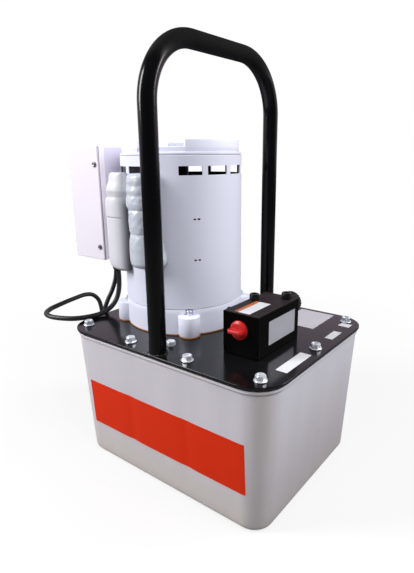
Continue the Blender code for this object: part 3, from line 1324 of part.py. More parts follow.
def make_pump():
    half_x, half_y = PUMP_LENGTH / 2, PUMP_WIDTH / 2
    gears = [(MOTOR_X, MOTOR_Y), (IDLER_AXIS[0], MOTOR_Y)]
    pockets = [(PUMP_X, MOTOR_Y + PORT_POCKET_Y), (PUMP_X, MOTOR_Y - PORT_POCKET_Y)]
    low, high = DECK + PUMP_LOW, DECK + PUMP_TOP
    body = box("pump_body", (PUMP_X - half_x, MOTOR_Y - half_y, low),
               (PUMP_X + half_x, MOTOR_Y + half_y, high))
    chamber = (low - THROUGH, DECK + CHAMBER_HIGH)
    outlet = DECK + OUTLET_HEIGHT
    for place, name in zip(gears, ("drive", "idler")):
        cut(body, rods(f"{name}_chamber", GEAR_TIP_RADIUS + RUN, [place], *chamber, sides=SMALL_ROUND))
    cut(
        body,
        rods("port_pockets", PORT_POCKET_RADIUS, pockets, *chamber, sides=SMALL_ROUND),
        rods("shaft_bore", JOURNAL_RADIUS + RUN, gears[:1], low, high + THROUGH, sides=SMALL_ROUND),
        rods("idler_bore", IDLER_JOURNAL_RADIUS + RUN, gears[1:], low, DECK + CHAMBER_HIGH + IDLER_JOURNAL,
             sides=SMALL_ROUND),
        rods("outlet_rise", PIPE_RADIUS - SEAT, pockets[1:], low, outlet),
        rod_between("outlet_drill", PIPE_RADIUS - SEAT, (*pockets[1], outlet),
                    (PUMP_X + half_x + THROUGH, pockets[1][1], outlet)),
    )
    finish(body, "cast_aluminium")

    cover_low, cover_high = DECK + PUMP_COVER_LOW, DECK + PUMP_COVER_HIGH
    cover = box("pump_end_cover", (PUMP_X - half_x, MOTOR_Y - half_y, cover_low),
                (PUMP_X + half_x, MOTOR_Y + half_y, cover_high))
    span = (cover_low - THROUGH, cover_high + THROUGH)
    cut(
        cover,
        rods("cover_shaft_bore", JOURNAL_RADIUS + RUN, gears[:1], *span, sides=SMALL_ROUND),
        rods("cover_idler_bore", IDLER_JOURNAL_RADIUS + RUN, gears[1:], *span, sides=SMALL_ROUND),
        rods("suction_hole", PORT_POCKET_RADIUS - RUN, pockets[:1], *span, sides=SMALL_ROUND),
    )
    finish(cover, "cast_aluminium")

    bore = circle(JOURNAL_RADIUS + SEAT, sides=SMALL_ROUND)
    drive = slab("drive_gear", [gear_outline(0), bore], GEAR_LOW, GEAR_HIGH, MOTOR_AXIS)
    finish(drive, "bare_steel", ROTOR)
    in_mesh = math.pi + math.pi / GEAR_TEETH
    idler = slab("idler_gear", [gear_outline(in_mesh)], GEAR_LOW, GEAR_HIGH, IDLER_AXIS)
    journals = (PUMP_COVER_LOW, CHAMBER_HIGH + IDLER_JOURNAL - RUN)
    join(idler, rods("idler_journals", IDLER_JOURNAL_RADIUS, [(0, 0)], *journals, IDLER_AXIS, SMALL_ROUND))
    finish(idler, "bare_steel", IDLER)

    make_pump_pipes(pockets, outlet, PUMP_X + half_x)


def make_pump_pipes(pockets, outlet, face):
    suction, pressure = pockets
    top = DECK + PUMP_COVER_LOW - SEAT
    x, y = suction
    profile = (
        (0, top),
        (STRAINER_NECK_RADIUS, top),
        (STRAINER_NECK_RADIUS, top - STRAINER_NECK),
        (STRAINER_RADIUS, top - STRAINER_NECK),
        (STRAINER_RADIUS, top - STRAINER_NECK - STRAINER_LENGTH),
        (0, top - STRAINER_NECK - STRAINER_LENGTH),
    )
    finish(turned("suction_strainer", profile, (x, y, 0), SMALL_ROUND), "mesh_screen")

    reach = DECK + PIPE_ENTRY
    route = (
        (face + SEAT, pressure[1], outlet),
        (face + SEAT + 2 * PIPE_RADIUS, pressure[1], outlet),
        (face + SEAT + 4 * PIPE_RADIUS, pressure[1], outlet),
        (PORT_X - PIPE_BEND, (pressure[1] + BLOCK_Y) / 2, outlet),
        (PORT_X - PIPE_BEND / 2, BLOCK_Y, outlet - PIPE_RADIUS),
        (PORT_X - PIPE_RADIUS, BLOCK_Y, outlet - PIPE_RADIUS / 2),
        (PORT_X, BLOCK_Y, DECK - PLATE_THICK),
        (PORT_X, BLOCK_Y, reach),
    )
    finish(tube("pressure_pipe", smooth_route(route, 2 * PIPE_RADIUS), PIPE_RADIUS), "bare_steel")


def main():
    make_tank()
    make_deck()
    make_handle()
    make_motor_housing()
    make_motor_inside()
    make_capacitors()
    make_control_box()
    make_cord_grips()
    make_power_lead()
    make_pendant()
    make_valve_block()
    make_pump()


main()
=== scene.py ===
"""Looks of a portable hydraulic power unit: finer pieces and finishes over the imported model, and a studio.

Metres, in the model's own frame: +Z up, the origin under the tank's middle, the banded front at -Y.
"""

from functools import cache
from math import atan2, copysign, cos, exp, pi, radians, sin, sqrt

import bmesh
import bpy
from mathutils import Matrix, Vector


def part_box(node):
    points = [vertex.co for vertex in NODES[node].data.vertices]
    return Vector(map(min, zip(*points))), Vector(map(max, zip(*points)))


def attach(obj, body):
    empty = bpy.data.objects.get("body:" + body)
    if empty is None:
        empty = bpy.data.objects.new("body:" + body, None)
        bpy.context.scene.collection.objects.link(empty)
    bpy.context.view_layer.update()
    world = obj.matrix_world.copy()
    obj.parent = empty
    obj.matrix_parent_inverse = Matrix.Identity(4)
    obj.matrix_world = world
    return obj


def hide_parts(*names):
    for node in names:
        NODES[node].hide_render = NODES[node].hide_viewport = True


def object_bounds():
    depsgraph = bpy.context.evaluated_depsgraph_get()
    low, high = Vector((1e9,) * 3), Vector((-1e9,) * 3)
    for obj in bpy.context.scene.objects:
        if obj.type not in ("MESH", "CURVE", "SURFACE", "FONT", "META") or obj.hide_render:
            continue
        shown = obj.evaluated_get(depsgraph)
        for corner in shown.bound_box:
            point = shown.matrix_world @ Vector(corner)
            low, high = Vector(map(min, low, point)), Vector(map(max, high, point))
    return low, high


bl_info = {
    "name": "Hydraulic Power Unit Looks",
    "version": (1, 0, 0),
    "blender": (4, 5, 0),
    "location": "View3D > Sidebar > Power Unit",
    "description": "Finer pieces, finishes and a studio for a packed hydraulic power unit",
    "category": "Object",
}

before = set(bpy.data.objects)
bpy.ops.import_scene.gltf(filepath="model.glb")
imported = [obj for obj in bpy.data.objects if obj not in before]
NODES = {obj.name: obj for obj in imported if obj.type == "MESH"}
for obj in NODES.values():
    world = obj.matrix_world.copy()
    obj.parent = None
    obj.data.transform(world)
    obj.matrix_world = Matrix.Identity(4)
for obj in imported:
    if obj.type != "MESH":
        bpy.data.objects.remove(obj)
CAD_BOX = [list(corner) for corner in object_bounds()]

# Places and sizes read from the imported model
PLATE_LOW, PLATE_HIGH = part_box("cover_plate")
DECK = PLATE_HIGH.z
TANK_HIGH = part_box("reservoir_tank")[1]
SHELL_LOW, SHELL_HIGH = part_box("motor_shell")
BASE_LOW, BASE_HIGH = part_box("motor_base")
BELL_LOW, BELL_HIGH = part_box("motor_end_bell")
BLOCK_LOW, BLOCK_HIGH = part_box("valve_block")
BOX_LOW, BOX_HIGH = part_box("control_box")
LID_LOW, LID_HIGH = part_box("control_box_cover")
MOTOR_RADIUS = (SHELL_HIGH.x - SHELL_LOW.x) / 2
MOTOR = Vector(((SHELL_LOW.x + SHELL_HIGH.x) / 2, (SHELL_LOW.y + SHELL_HIGH.y) / 2, 0))


def middle_of(node):
    low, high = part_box(node)
    return (low + high) / 2


# Steps of round shapes
CASTING = 360
FINE = 128
ROUND = 64
SMALL = 36
EASE = 4

# Shapes that follow the model's source
PLATE_CORNER = 0.041
TANK_DRAFT = 0.0109
TANK_WALL = 0.0045
TANK_RIM_OUT = 0.0015
TANK_RIM_HEIGHT = 0.005
TANK_FLOOR = 0.006
LUG_CIRCLE = MOTOR_RADIUS + 0.0009
LUG_RADIUS = 0.0141
LUG_NICHE = 0.0051
LUG_TOP = DECK + 0.0285
BASE_BORE = 0.079
HUB_OUT = 0.0273
HUB_BORE = 0.0203
SHAFT_HOLE = 0.0144
HANDLE_BEND = 0.076
WELD_REACH = 0.0021
WINDOW_PLACES = 14
WINDOW_FIRST = radians(-40.7)
BELL_RIM_FIRST = radians(-44.6)
BELL_RIM_ARC = radians(73)
CAP_TURNS = {"left": radians(-124), "right": radians(-79.5)}
CAP_AXIS = 0.087
POWER_CORD = 0.0075
PENDANT_CORD = 0.007
CORD_LENGTH = 1.8
COIL_PITCH = 1.2
COIL_CLIMB = 0.5
COIL_TAIL = 0.044
POWER_TURNS = 5.125
PENDANT_TURNS = 5.25
JOINT_GAP = 0.0003

# Soft marks on the tank's walls under the bolts: where they lie, and how they fade at the edges
SINK_MARKS = (0.0493, -0.0493)
SINK_EDGE = 0.01
SINK_FADE = 0.03

# Capacitor covers: breadth of the left one, and the heights where the right one draws in and necks
LEFT_BREADTH = 0.0285
CUP_TOP, CUP_FADE, CUP_DRAW = 0.106, 0.034, 0.28
NECK_LOW, NECK_FADE, NECK_OUT = 0.165, 0.010, 0.14
WRINKLE = 0.007

# Small dark dashes on the shell, painted shade for small dents: heights over the deck, and turns in degrees
LANCE_HEIGHTS = (0.1577, 0.1042)
LANCE_TURNS = (-37.9, -34.2)

# Cord grips: across the flats, height of the hexagon, chamfer, wall of the box
GRIP_HEX, GRIP_HEIGHT, GRIP_CHAMFER, GRIP_WALL = 0.0118, 0.009, 0.0006, 0.0023

# Faces with more corners or a larger area than these are shaded flat
FEW_CORNERS = 9
LARGE_FLAT = 0.003

# Hex bolts: across the flats, radius and thickness of the washer
DECK_BOLT = (0.0111, 0.0078, 0.0013)
LUG_BOLT = (0.007, 0.0045, 0.0008)
LID_BOLT = (0.0055, 0.0038, 0.0007)

# Blank labels on the cover plate and on the block's top: two ends in x, two in y
PLATE_LABELS = {
    "front": (0.146, 0.161, -0.083, -0.022),
    "side": (0.149, 0.160, 0.040, 0.071),
    "rear": (0.1445, 0.160, 0.095, 0.108),
    "large": (0.068, 0.122, 0.061, 0.132),
}
TOP_LABELS = {"strip": (0.0805, 0.0865, -0.0715, -0.0225), "field": (0.0865, 0.1025, -0.0715, -0.0225)}
SIDE_LABEL_HALF, SIDE_LABEL_Y, SIDE_LABEL_RISE = (0.01525, 0.03225), -0.01975, 0.02725

# Lamps: place, width and height
KEY_LAMP = ((-0.92, -1.00, 1.05), (0.45, 0.9))
FILL_LAMP = ((1.20, 1.15, 1.20), (0.40, 1.0))
TOP_LAMP = ((1.38, -0.32, 1.97), (3.0, 0.5))
LAMP_AIM = Vector((-0.02, 0.0, 0.28))

# Camera: place, yaw, pitch and roll, and the shift of its picture
CAMERA_PLACE = (0.3891, -0.5082, 0.4320)
CAMERA_TURN = [radians(a) for a in (38.238, 15.185, -0.668)]
CAMERA_SHIFT = (-0.00667, -0.00557)

POWER_ROUTE = (
    (-0.1605, -0.0432, 0.2632), (-0.1600, -0.0434, 0.2500), (-0.1590, -0.0460, 0.2336),
    (-0.1595, -0.0520, 0.2186), (-0.1615, -0.0630, 0.2076), (-0.1635, -0.0800, 0.2021),
    (-0.1666, -0.0990, 0.2016), (-0.1775, -0.1181, 0.2016), (-0.1977, -0.1302, 0.2016),
    (-0.2160, -0.1345, 0.2016), (-0.2336, -0.1300, 0.2016), (-0.2472, -0.1140, 0.2016),
    (-0.2560, -0.0904, 0.2016), (-0.2658, -0.0532, 0.2016), (-0.2705, -0.0278, 0.2010),
    (-0.2718, -0.0118, 0.1966), (-0.2715, 0.0000, 0.1846), (-0.2705, 0.0040, 0.1680),
    (-0.2700, 0.0045, 0.1250), (-0.2700, 0.0045, 0.0800), (-0.2700, 0.0048, 0.0440),
    (-0.2700, 0.0105, 0.0235), (-0.2700, 0.0240, 0.0088), (-0.2700, 0.0440, 0.0040),
    (-0.2700, 0.0720, 0.00375),
)
PENDANT_ROUTE = (
    (-0.1730, -0.0370, 0.2632), (-0.1735, -0.0385, 0.2496), (-0.1755, -0.0445, 0.2316),
    (-0.1795, -0.0530, 0.2136), (-0.1828, -0.0590, 0.1956), (-0.1840, -0.0615, 0.1750),
    (-0.1840, -0.0615, 0.1250), (-0.1840, -0.0615, 0.0750), (-0.1838, -0.0605, 0.0400),
    (-0.1825, -0.0545, 0.0215), (-0.1795, -0.0420, 0.0085), (-0.1745, -0.0230, 0.0038),
    (-0.1680, 0.0050, 0.0035), (-0.1630, 0.0400, 0.0035), (-0.1615, 0.0800, 0.0035),
    (-0.1615, 0.1300, 0.0035), (-0.1615, 0.1755, 0.0035),
)


def tint(name, description, default):
    return bpy.props.FloatVectorProperty(
        name=name, description=description, subtype="COLOR", size=3, min=0, max=1, default=default
    )


def number(name, description, default, **more):
    return bpy.props.FloatProperty(name=name, description=description, default=default, **more)


def size(name, description, default):
    return number(name, description, default, unit="LENGTH", subtype="DISTANCE", precision=5)


def power(name, description, default):
    return number(name, description, default, subtype="POWER", unit="POWER")


class UnitColours(bpy.types.PropertyGroup):
    """Colours of the unit's finishes."""

    tank: tint("Tank", "Milky moulded plastic", (0.54, 0.515, 0.56))
    tank_thick: tint("Tank corners", "The plastic where it is thickest", (0.555, 0.505, 0.455))
    band: tint("Front band", "Film across the tank's front", (0.61, 0.025, 0.003))
    black_paint: tint("Black paint", "Cover plate and handle", (0.0025, 0.0025, 0.003))
    white_paint: tint("White paint", "Motor castings and shell", (0.64, 0.65, 0.77))
    # Box and cover are one paint given two colours: the box's lighter, as painted light for its shade beside
    # the motor, the cover's darker for its well-lit face.
    box_paint: tint("Box paint", "Control box", (0.765, 0.72, 0.845))
    lid_paint: tint("Cover paint", "Cover of the control box", (0.665, 0.622, 0.70))
    cap_grey: tint("Capacitor covers", "Moulded covers beside the motor", (0.58, 0.575, 0.625))
    cap_blue: tint("Right cover", "Glossy cover behind the handle", (0.465, 0.50, 0.565))
    block: tint("Valve block", "Satin coat of the block", (0.0015, 0.0014, 0.0014))
    plug: tint("Port plug", "Plug and pendant button", (0.45, 0.009, 0.009))
    zinc: tint("Zinc", "Plated bolts", (0.80, 0.83, 0.90))
    label_white: tint("White label", "Blank film on the plate and block", (0.55, 0.55, 0.585))
    label_orange: tint("Label strip", "Coloured end of the block's top label", (0.36, 0.11, 0.035))
    label_silver: tint("Silver label", "Blank foil on the block", (0.45, 0.45, 0.505))
    label_plate: tint("Plate label", "Blank foil on the cover plate", (0.60, 0.59, 0.635))
    gasket: tint("Motor gasket", "Fibre sheet under the motor", (0.27, 0.12, 0.05))
    cord: tint("Leads", "Jacket of the leads", (0.010, 0.010, 0.011))


class UnitSizes(bpy.types.PropertyGroup):
    """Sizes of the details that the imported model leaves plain."""

    plate_edge: size("Plate edge", "Rounding of the cover plate's edges", 0.0006)
    sink_depth: size("Sink marks", "Depth of the soft marks under the bolts", 0.0009)
    sink_width: size("Sink width", "Half width of those marks", 0.0085)
    foot_round: size("Tank foot", "Rounding at the foot of the tank", 0.008)
    band_left: size("Band left", "Left end of the front band", -0.132)
    band_right: size("Band right", "Right end of the front band", 0.1366)
    band_low: size("Band low", "Lower edge of the front band", 0.0526)
    band_high: size("Band high", "Upper edge of the front band", 0.1216)
    casting_edge: size("Casting edges", "Rounding of the motor castings", 0.0010)
    lug_fillet: size("Lug fillet", "Blend between the base and its lugs", 0.0035)
    window_height: size("Window height", "Vent windows of the motor shell", 0.0112)
    window_width: size("Window width", "Vent windows of the motor shell", 0.0302)
    window_drop: size("Window drop", "From the shell's top to the windows", 0.0132)
    box_edge: size("Box edges", "Bends of the control box's sheet", 0.0012)
    lid_groove: size("Cover groove", "Groove behind the cover's face", 0.0016)
    block_edge: size("Block edges", "Broken edges of the valve block", 0.0008)
    film: size("Film", "Thickness of labels and of the band", 0.00018)


class StudioSettings(bpy.types.PropertyGroup):
    """Camera, lamps and floor."""

    lens: number("Lens", "Focal length", 29.197, subtype="DISTANCE_CAMERA")
    key_power: power("Key lamp", "Large lamp on the left", 30.5)
    fill_power: power("Fill lamp", "Large lamp on the right", 19.0)
    top_power: power("Top lamp", "Lamp high on the right", 53.0)
    sky: number("Sky", "Even light from the horizon", 0.16)
    zenith: number("Zenith", "More even light from overhead", 0.12)
    room: number("Room", "The room's share in reflections", 0.06)
    floor: tint("Floor", "Plain pale floor", (0.17, 0.17, 0.175))


def colours():
    return bpy.context.scene.unit_colours


def sizes():
    return bpy.context.scene.unit_sizes


# Node trees


class Value:
    """A socket of a node tree. Arithmetic on it adds Math nodes."""

    def __init__(self, tree, socket):
        self.tree = tree
        self.socket = socket

    def maths(self, operation, *values):
        return self.tree.node("ShaderNodeMath", {"operation": operation}, dict(enumerate(values)))

    def __add__(self, other):
        return self.maths("ADD", self, other)

    def __sub__(self, other):
        return self.maths("SUBTRACT", self, other)

    def __rsub__(self, other):
        return self.maths("SUBTRACT", other, self)

    def __mul__(self, other):
        return self.maths("MULTIPLY", self, other)

    def __truediv__(self, other):
        return self.maths("DIVIDE", self, other)

    def __abs__(self):
        return self.maths("ABSOLUTE", self)

    def sine(self):
        return self.maths("SINE", self)

    def cosine(self):
        return self.maths("COSINE", self)

    def ease(self, low, high):
        """0 below low, 1 above high, smooth between."""
        sockets = {"Value": self, "From Min": low, "From Max": high}
        return self.tree.node("ShaderNodeMapRange", {"interpolation_type": "SMOOTHSTEP"}, sockets)

    __radd__ = __add__
    __rmul__ = __mul__


class Tree:
    """A node tree being built."""

    def __init__(self, tree):
        self.tree = tree

    def node(self, kind, settings=None, sockets=None, output=0):
        made = self.tree.nodes.new(kind)
        for name, value in (settings or {}).items():
            setattr(made, name, value)
        for key, value in (sockets or {}).items():
            self.join(value, made.inputs[key])
        return Value(self, made.outputs[output]) if made.outputs else made

    def join(self, value, socket):
        if isinstance(value, Value):
            self.tree.links.new(value.socket, socket)
        elif socket.type == "RGBA" and len(value) == 3:
            socket.default_value = (*value, 1)
        else:
            socket.default_value = value


class Finish(Tree):
    """A material being built round one Principled shader."""

    def __init__(self, name, **plain):
        self.material = bpy.data.materials.new(name)
        self.material.use_nodes = True
        super().__init__(self.material.node_tree)
        self.shader = self.tree.nodes["Principled BSDF"]
        self.place = self.node("ShaderNodeTexCoord", output=3)
        for name, value in plain.items():
            self.set(name.replace("_", " ").title().replace("Ior", "IOR"), value)

    def set(self, name, value):
        self.join(value, self.shader.inputs[name])

    def stretched(self, x, y, z):
        return self.node("ShaderNodeMapping", {}, {"Vector": self.place, "Scale": (x, y, z)})

    def noise(self, scale, detail=3.0, place=None):
        sockets = {"Vector": place or self.place, "Scale": scale, "Detail": detail}
        return self.node("ShaderNodeTexNoise", {}, sockets)

    def axes(self):
        return [self.node("ShaderNodeSeparateXYZ", {}, {0: self.place}, output=i) for i in range(3)]

    def reach(self):
        """Distance from the motor's axis."""
        x, y, z = self.axes()
        off = self.node("ShaderNodeCombineXYZ", {}, {0: x - MOTOR.x, 1: y - MOTOR.y})
        return self.node("ShaderNodeVectorMath", {"operation": "LENGTH"}, {0: off}, output=1)

    def mix(self, factor, first, second):
        return self.node("ShaderNodeMix", {"data_type": "RGBA"}, {0: factor, 6: first, 7: second}, output=2)

    def bump(self, height, strength, distance=0.001):
        sockets = {"Height": height, "Strength": strength, "Distance": distance}
        self.set("Normal", self.node("ShaderNodeBump", {}, sockets))

    def shades(self, colour, spread, factor):
        """The colour, a little darker where the factor is low and lighter where it is high."""
        dark = [c * (1 - spread) for c in colour]
        light = [min(1, c * (1 + spread)) for c in colour]
        return self.mix(factor, dark, light)

    def tones(self, colour, spread, factor):
        self.set("Base Color", self.shades(colour, spread, factor))

    def moulded(self, colour, spread, cloud, gloss, skin=None):
        """A cloudy colour, an uneven gloss and a fine skin, each from a noise of its own."""
        self.tones(colour, spread, self.noise(cloud))
        rough, share, scale = gloss
        self.set("Roughness", rough + self.noise(scale) * share)
        if skin:
            scale, strength, distance = skin
            self.bump(self.noise(scale, 2), strength, distance)
        return self.material

    def grained(self, grain, colour, spread, gloss, relief):
        """Colour, gloss and relief that follow one pattern."""
        self.tones(colour, spread, grain)
        rough, share = gloss
        self.set("Roughness", rough + grain * share)
        self.bump(grain, *relief)
        return self.material


@cache
def milky_plastic():
    """Translucent moulded tank: drawn streaks, thicker and warmer at its corners, darker and warmer towards
    the bottom, with painted shade low on its right side and painted light high on it.
    """
    f = Finish("milky_plastic", subsurface_weight=0.35, subsurface_scale=0.006, specular_ior_level=0.35)
    f.set("Subsurface Radius", (1.0, 0.9, 0.75))
    x, y, z = f.axes()
    corner = abs(x).ease(0.128, 0.160) * abs(y).ease(0.098, 0.128)
    streak = f.noise(30, 4, f.stretched(1, 1, 0.05))
    cloud = f.noise(7, 2)
    shade = (streak * 0.6 + cloud * 0.4).ease(0.25, 0.75)
    tank = colours().tank
    plain = f.shades(tank, 0.05, shade)
    low = 1 - z.ease(0.0, 0.085)
    side = x.ease(0.125, 0.145) * (1 - corner)
    # Darker and warmer towards the bottom, and warmer at the thick corners.
    walls = f.mix(corner * 0.5 + low * (1 - corner) * 0.7, plain, colours().tank_thick)
    # Painted shade: the right side darker towards the bottom.
    walls = f.mix(side * (1 - z.ease(0.02, 0.15)) * 0.55, walls, [c * 0.66 for c in tank])
    # Painted light: the right side paler and bluer towards the top.
    f.set("Base Color", f.mix(side * z.ease(0.10, 0.22) * 0.8, walls, (0.575, 0.58, 0.645)))
    f.set("Roughness", 0.36 + f.noise(55) * 0.14)
    f.bump(f.noise(420, 2) + streak * 0.8, 0.05, 0.0006)
    return f.material


def gloss_paint(f, dust_and_sheen, worn=0.0):
    """Black sprayed paint with orange peel, faint dust, a duller bloom and wear."""
    bloom = f.noise(14)
    dust_and_shade = f.noise(900, 2).ease(0.66, 0.80)
    base = colours().black_paint
    f.set("Base Color", f.mix(dust_and_shade * 0.4 + bloom * 0.2 + worn, base, [c + dust_and_sheen for c in base]))
    f.set("Roughness", 0.13 + bloom * 0.07 + dust_and_shade * 0.15 + worn)
    f.bump(f.noise(260, 2), 0.06, 0.0005)
    return f.material


@cache
def plate_paint():
    return gloss_paint(Finish("plate_paint", specular_ior_level=0.38), 0.006)


@cache
def handle_paint():
    """Gloss paint, dull along the grip."""
    f = Finish("handle_paint", specular_ior_level=0.18)
    height, grip = f.axes()[2], CAD_BOX[1][2]
    return gloss_paint(f, 0.003, height.ease(grip - 0.045, grip - 0.018) * (0.70 + f.noise(120) * 0.15))


def clouded(f, paint):
    """The white paint's faint clouds."""
    return f.shades(paint, 0.035, f.noise(11))


def satin(f, dull=None):
    """The white paint's gloss and skin, duller where asked."""
    gloss = 0.38 + f.noise(70) * 0.14
    f.set("Roughness", gloss + dull if dull else gloss)
    f.bump(f.noise(330), 0.07, 0.0005)
    return f.material


@cache
def white_paint(name, colour):
    """Cool white satin paint over castings and sheet."""
    f = Finish(name, specular_ior_level=0.45)
    f.set("Base Color", clouded(f, colour))
    return satin(f)


@cache
def lid_paint():
    """White paint on the box's cover, with painted light on its right fold and painted shade in the groove
    behind its face, darker towards its foot.
    """
    f = Finish("lid_paint", specular_ior_level=0.45)
    x, y, z = f.axes()
    behind = y - LID_LOW.y
    # Painted light: the fold on the cover's right side is paler.
    fold = x.ease(LID_HIGH.x - 0.0006, LID_HIGH.x - 0.0002) * behind.ease(0.0031, 0.0035)
    groove = behind.ease(0.0012, 0.0015) * (1 - behind.ease(0.0031, 0.0034))
    # Painted shade: the groove behind the face is darkened, more towards the foot.
    dust_and_shade = groove * (0.66 - z.ease(LID_LOW.z, LID_HIGH.z) * 0.62)
    clean = f.mix(fold, clouded(f, colours().lid_paint), (0.95, 0.90, 0.96))
    f.set("Base Color", f.mix(dust_and_shade, clean, (0.10, 0.095, 0.11)))
    return satin(f)


@cache
def shell_paint():
    """The motor's white paint, with the shell's bore painted near-black as painted shade."""
    f = Finish("shell_paint", specular_ior_level=0.45)
    outside = f.reach().ease(MOTOR_RADIUS - 0.0022, MOTOR_RADIUS - 0.0012)
    paint = clouded(f, colours().white_paint)
    # Painted shade: inside the bore the paint is near-black.
    f.set("Base Color", f.mix(outside, (0.003, 0.003, 0.003), paint))
    return satin(f, (1 - outside) * 0.5)


def motor_paint():
    return white_paint("motor_paint", tuple(colours().white_paint))


@cache
def bell_paint():
    """The motor's white paint, with painted light on the raised rim and painted shade, near-black, inside
    the bell.
    """
    f = Finish("bell_paint", specular_ior_level=0.45)
    height, white = f.axes()[2], colours().white_paint
    rim = height.ease(BELL_HIGH.z - 0.012, BELL_HIGH.z - 0.010)
    within = 1 - height.ease(SHELL_HIGH.z - 0.001, SHELL_HIGH.z)
    # Painted light: the raised rim is made paler.
    paint = f.mix(rim, clouded(f, white), [min(1, c * 1.16) for c in white])
    # Painted shade: near-black inside the bell.
    f.set("Base Color", f.mix(within, paint, (0.004, 0.004, 0.004)))
    return satin(f, within * 0.5)


@cache
def cover_plastic():
    """Moulded capacitor cover with soft drag marks, painted shade where it meets the shell beside the right
    cover, in its neck and at its foot, and a dark line at its seam.
    """
    f = Finish("cover_plastic", specular_ior_level=0.4)
    x, y, z = f.axes()
    drag = f.noise(90, 3, f.stretched(1, 1, 0.06))
    turn_to = CAP_TURNS["left"]
    beside = (y - MOTOR.y) * cos(turn_to) - (x - MOTOR.x) * sin(turn_to)
    # Painted shade in the gap between the cover and the shell, on the side of the right cover.
    dust_and_shade = (1 - f.reach().ease(MOTOR_RADIUS + 0.002, MOTOR_RADIUS + 0.015)) * beside.ease(0.001, 0.010)
    dust_and_shade = dust_and_shade * (1 - z.ease(DECK + 0.170, DECK + 0.188)) * 0.95
    # Painted shade in the neck and at the foot, and a dark line at the seam.
    for middle, half, depth in ((0.1880, 0.0056, 0.26), (0.1571, 0.0009, 0.45), (0.0850, 0.0030, 0.60)):
        groove = 1 - abs(z - DECK - middle).ease(half * 0.4, half)
        dust_and_shade = dust_and_shade.maths("MAXIMUM", dust_and_shade, groove * depth)
    f.set("Base Color", f.mix(dust_and_shade, f.shades(colours().cap_grey, 0.05, drag), (0.03, 0.029, 0.03)))
    f.set("Roughness", 0.34 + f.noise(60) * 0.16)
    f.bump(drag, 0.06, 0.0005)
    return f.material


@cache
def wrinkled_plastic():
    """Glossy bluish moulding with fine wrinkles."""
    f = Finish("wrinkled_plastic", specular_ior_level=0.5)
    fold = f.noise(75, 3, f.stretched(1, 1, 1.8))
    f.tones(colours().cap_blue, 0.06, fold)
    f.set("Roughness", 0.16 + f.noise(60) * 0.14)
    f.bump(fold, 0.35, 0.0020)
    return f.material


@cache
def zinc_plate():
    """Bright zinc with a mottled passivated film."""
    f = Finish("zinc_plate", metallic=0.66, specular_ior_level=0.5)
    mottle = f.noise(480, 4)
    film = f.noise(130, 2)
    zinc = colours().zinc
    warm = (zinc[0] * 0.94, zinc[1] * 0.90, zinc[2] * 0.80)
    f.set("Base Color", f.mix(film.ease(0.45, 0.75) * 0.3, zinc, warm))
    f.set("Roughness", 0.22 + mottle * 0.20)
    f.bump(mottle, 0.06, 0.0003)
    return f.material


@cache
def black_screw():
    """Black oxide steel, also used as painted shade on the shell's small dents."""
    f = Finish("black_screw", metallic=0.8, specular_ior_level=0.4)
    patch = f.noise(240)
    f.set("Base Color", f.mix(patch, (0.012, 0.012, 0.013), (0.035, 0.034, 0.036)))
    f.set("Roughness", 0.32 + patch * 0.2)
    return f.material


@cache
def block_coat():
    """Satin black coat over a milled block, with faint cutter lines and painted light, in patches, on its
    top face.
    """
    f = Finish("block_coat", specular_ior_level=0.03)
    x, y, z = f.axes()
    lines = (y * 5200 + z * 900).sine()
    patch = f.noise(28, 4)
    # Painted light: the top face is made lighter, in patches.
    dust_and_sheen = z.ease(BLOCK_HIGH.z - 0.0006, BLOCK_HIGH.z - 0.0001) * (0.75 + patch * 0.5)
    f.set("Base Color", f.mix(dust_and_sheen, colours().block, (0.021, 0.016, 0.018)))
    f.set("Roughness", 0.34 + patch * 0.16)
    f.bump(lines * 0.15 + f.noise(600, 2), 0.05, 0.0003)
    return f.material


@cache
def red_plastic():
    """Soft red moulding with a faint skin."""
    f = Finish("red_plastic", subsurface_weight=0.12, subsurface_scale=0.003)
    return f.moulded(colours().plug, 0.10, 90, (0.30, 0.15, 160), (700, 0.05, 0.0003))


@cache
def black_moulding():
    """Black moulded plastic with a fine grain."""
    f = Finish("black_moulding", specular_ior_level=0.15)
    return f.moulded((0.007, 0.007, 0.008), 0.25, 40, (0.42, 0.16, 120), (1500, 0.12, 0.0002))


@cache
def cord_jacket():
    """Smooth black jacket with scuffs."""
    f = Finish("cord_jacket", specular_ior_level=0.45)
    scuff = f.noise(150, 4)
    cord = colours().cord
    f.set("Base Color", f.mix(scuff.ease(0.55, 0.8) * 0.5, cord, [c + 0.03 for c in cord]))
    f.set("Roughness", 0.36 + scuff * 0.22)
    f.bump(f.noise(900, 2), 0.05, 0.0003)
    return f.material


@cache
def sheet_rubber():
    """Dull black rubber."""
    f = Finish("sheet_rubber", specular_ior_level=0.3)
    return f.moulded((0.018, 0.018, 0.018), 0.3, 60, (0.62, 0.2, 200))


@cache
def fibre_gasket():
    """Tan fibre sheet with flecks."""
    f = Finish("fibre_gasket", specular_ior_level=0.2)
    f.tones(colours().gasket, 0.30, f.noise(520, 4).ease(0.3, 0.7))
    f.set("Roughness", 0.75 + f.noise(300) * 0.2)
    return f.material


@cache
def film(name, colour, roughness, metallic):
    """Thin printed film with faint smudges."""
    f = Finish(name, metallic=metallic, specular_ior_level=0.12)
    smudge = f.noise(65, 4)
    f.tones(colour, 0.05, smudge)
    f.set("Roughness", roughness + smudge * 0.16)
    f.bump(f.noise(500, 2), 0.03, 0.0002)
    return f.material


def white_film():
    return film("white_film", tuple(colours().label_white), 0.35, 0.0)


@cache
def machined(name, colour, scale):
    """Turned or ground metal with fine rings along its axis."""
    f = Finish(name, metallic=1.0)
    rings = f.noise(scale, 2, f.stretched(0.1, 0.1, 1))
    return f.grained(rings, colour, 0.18, (0.26, 0.24), (0.05, 0.0003))


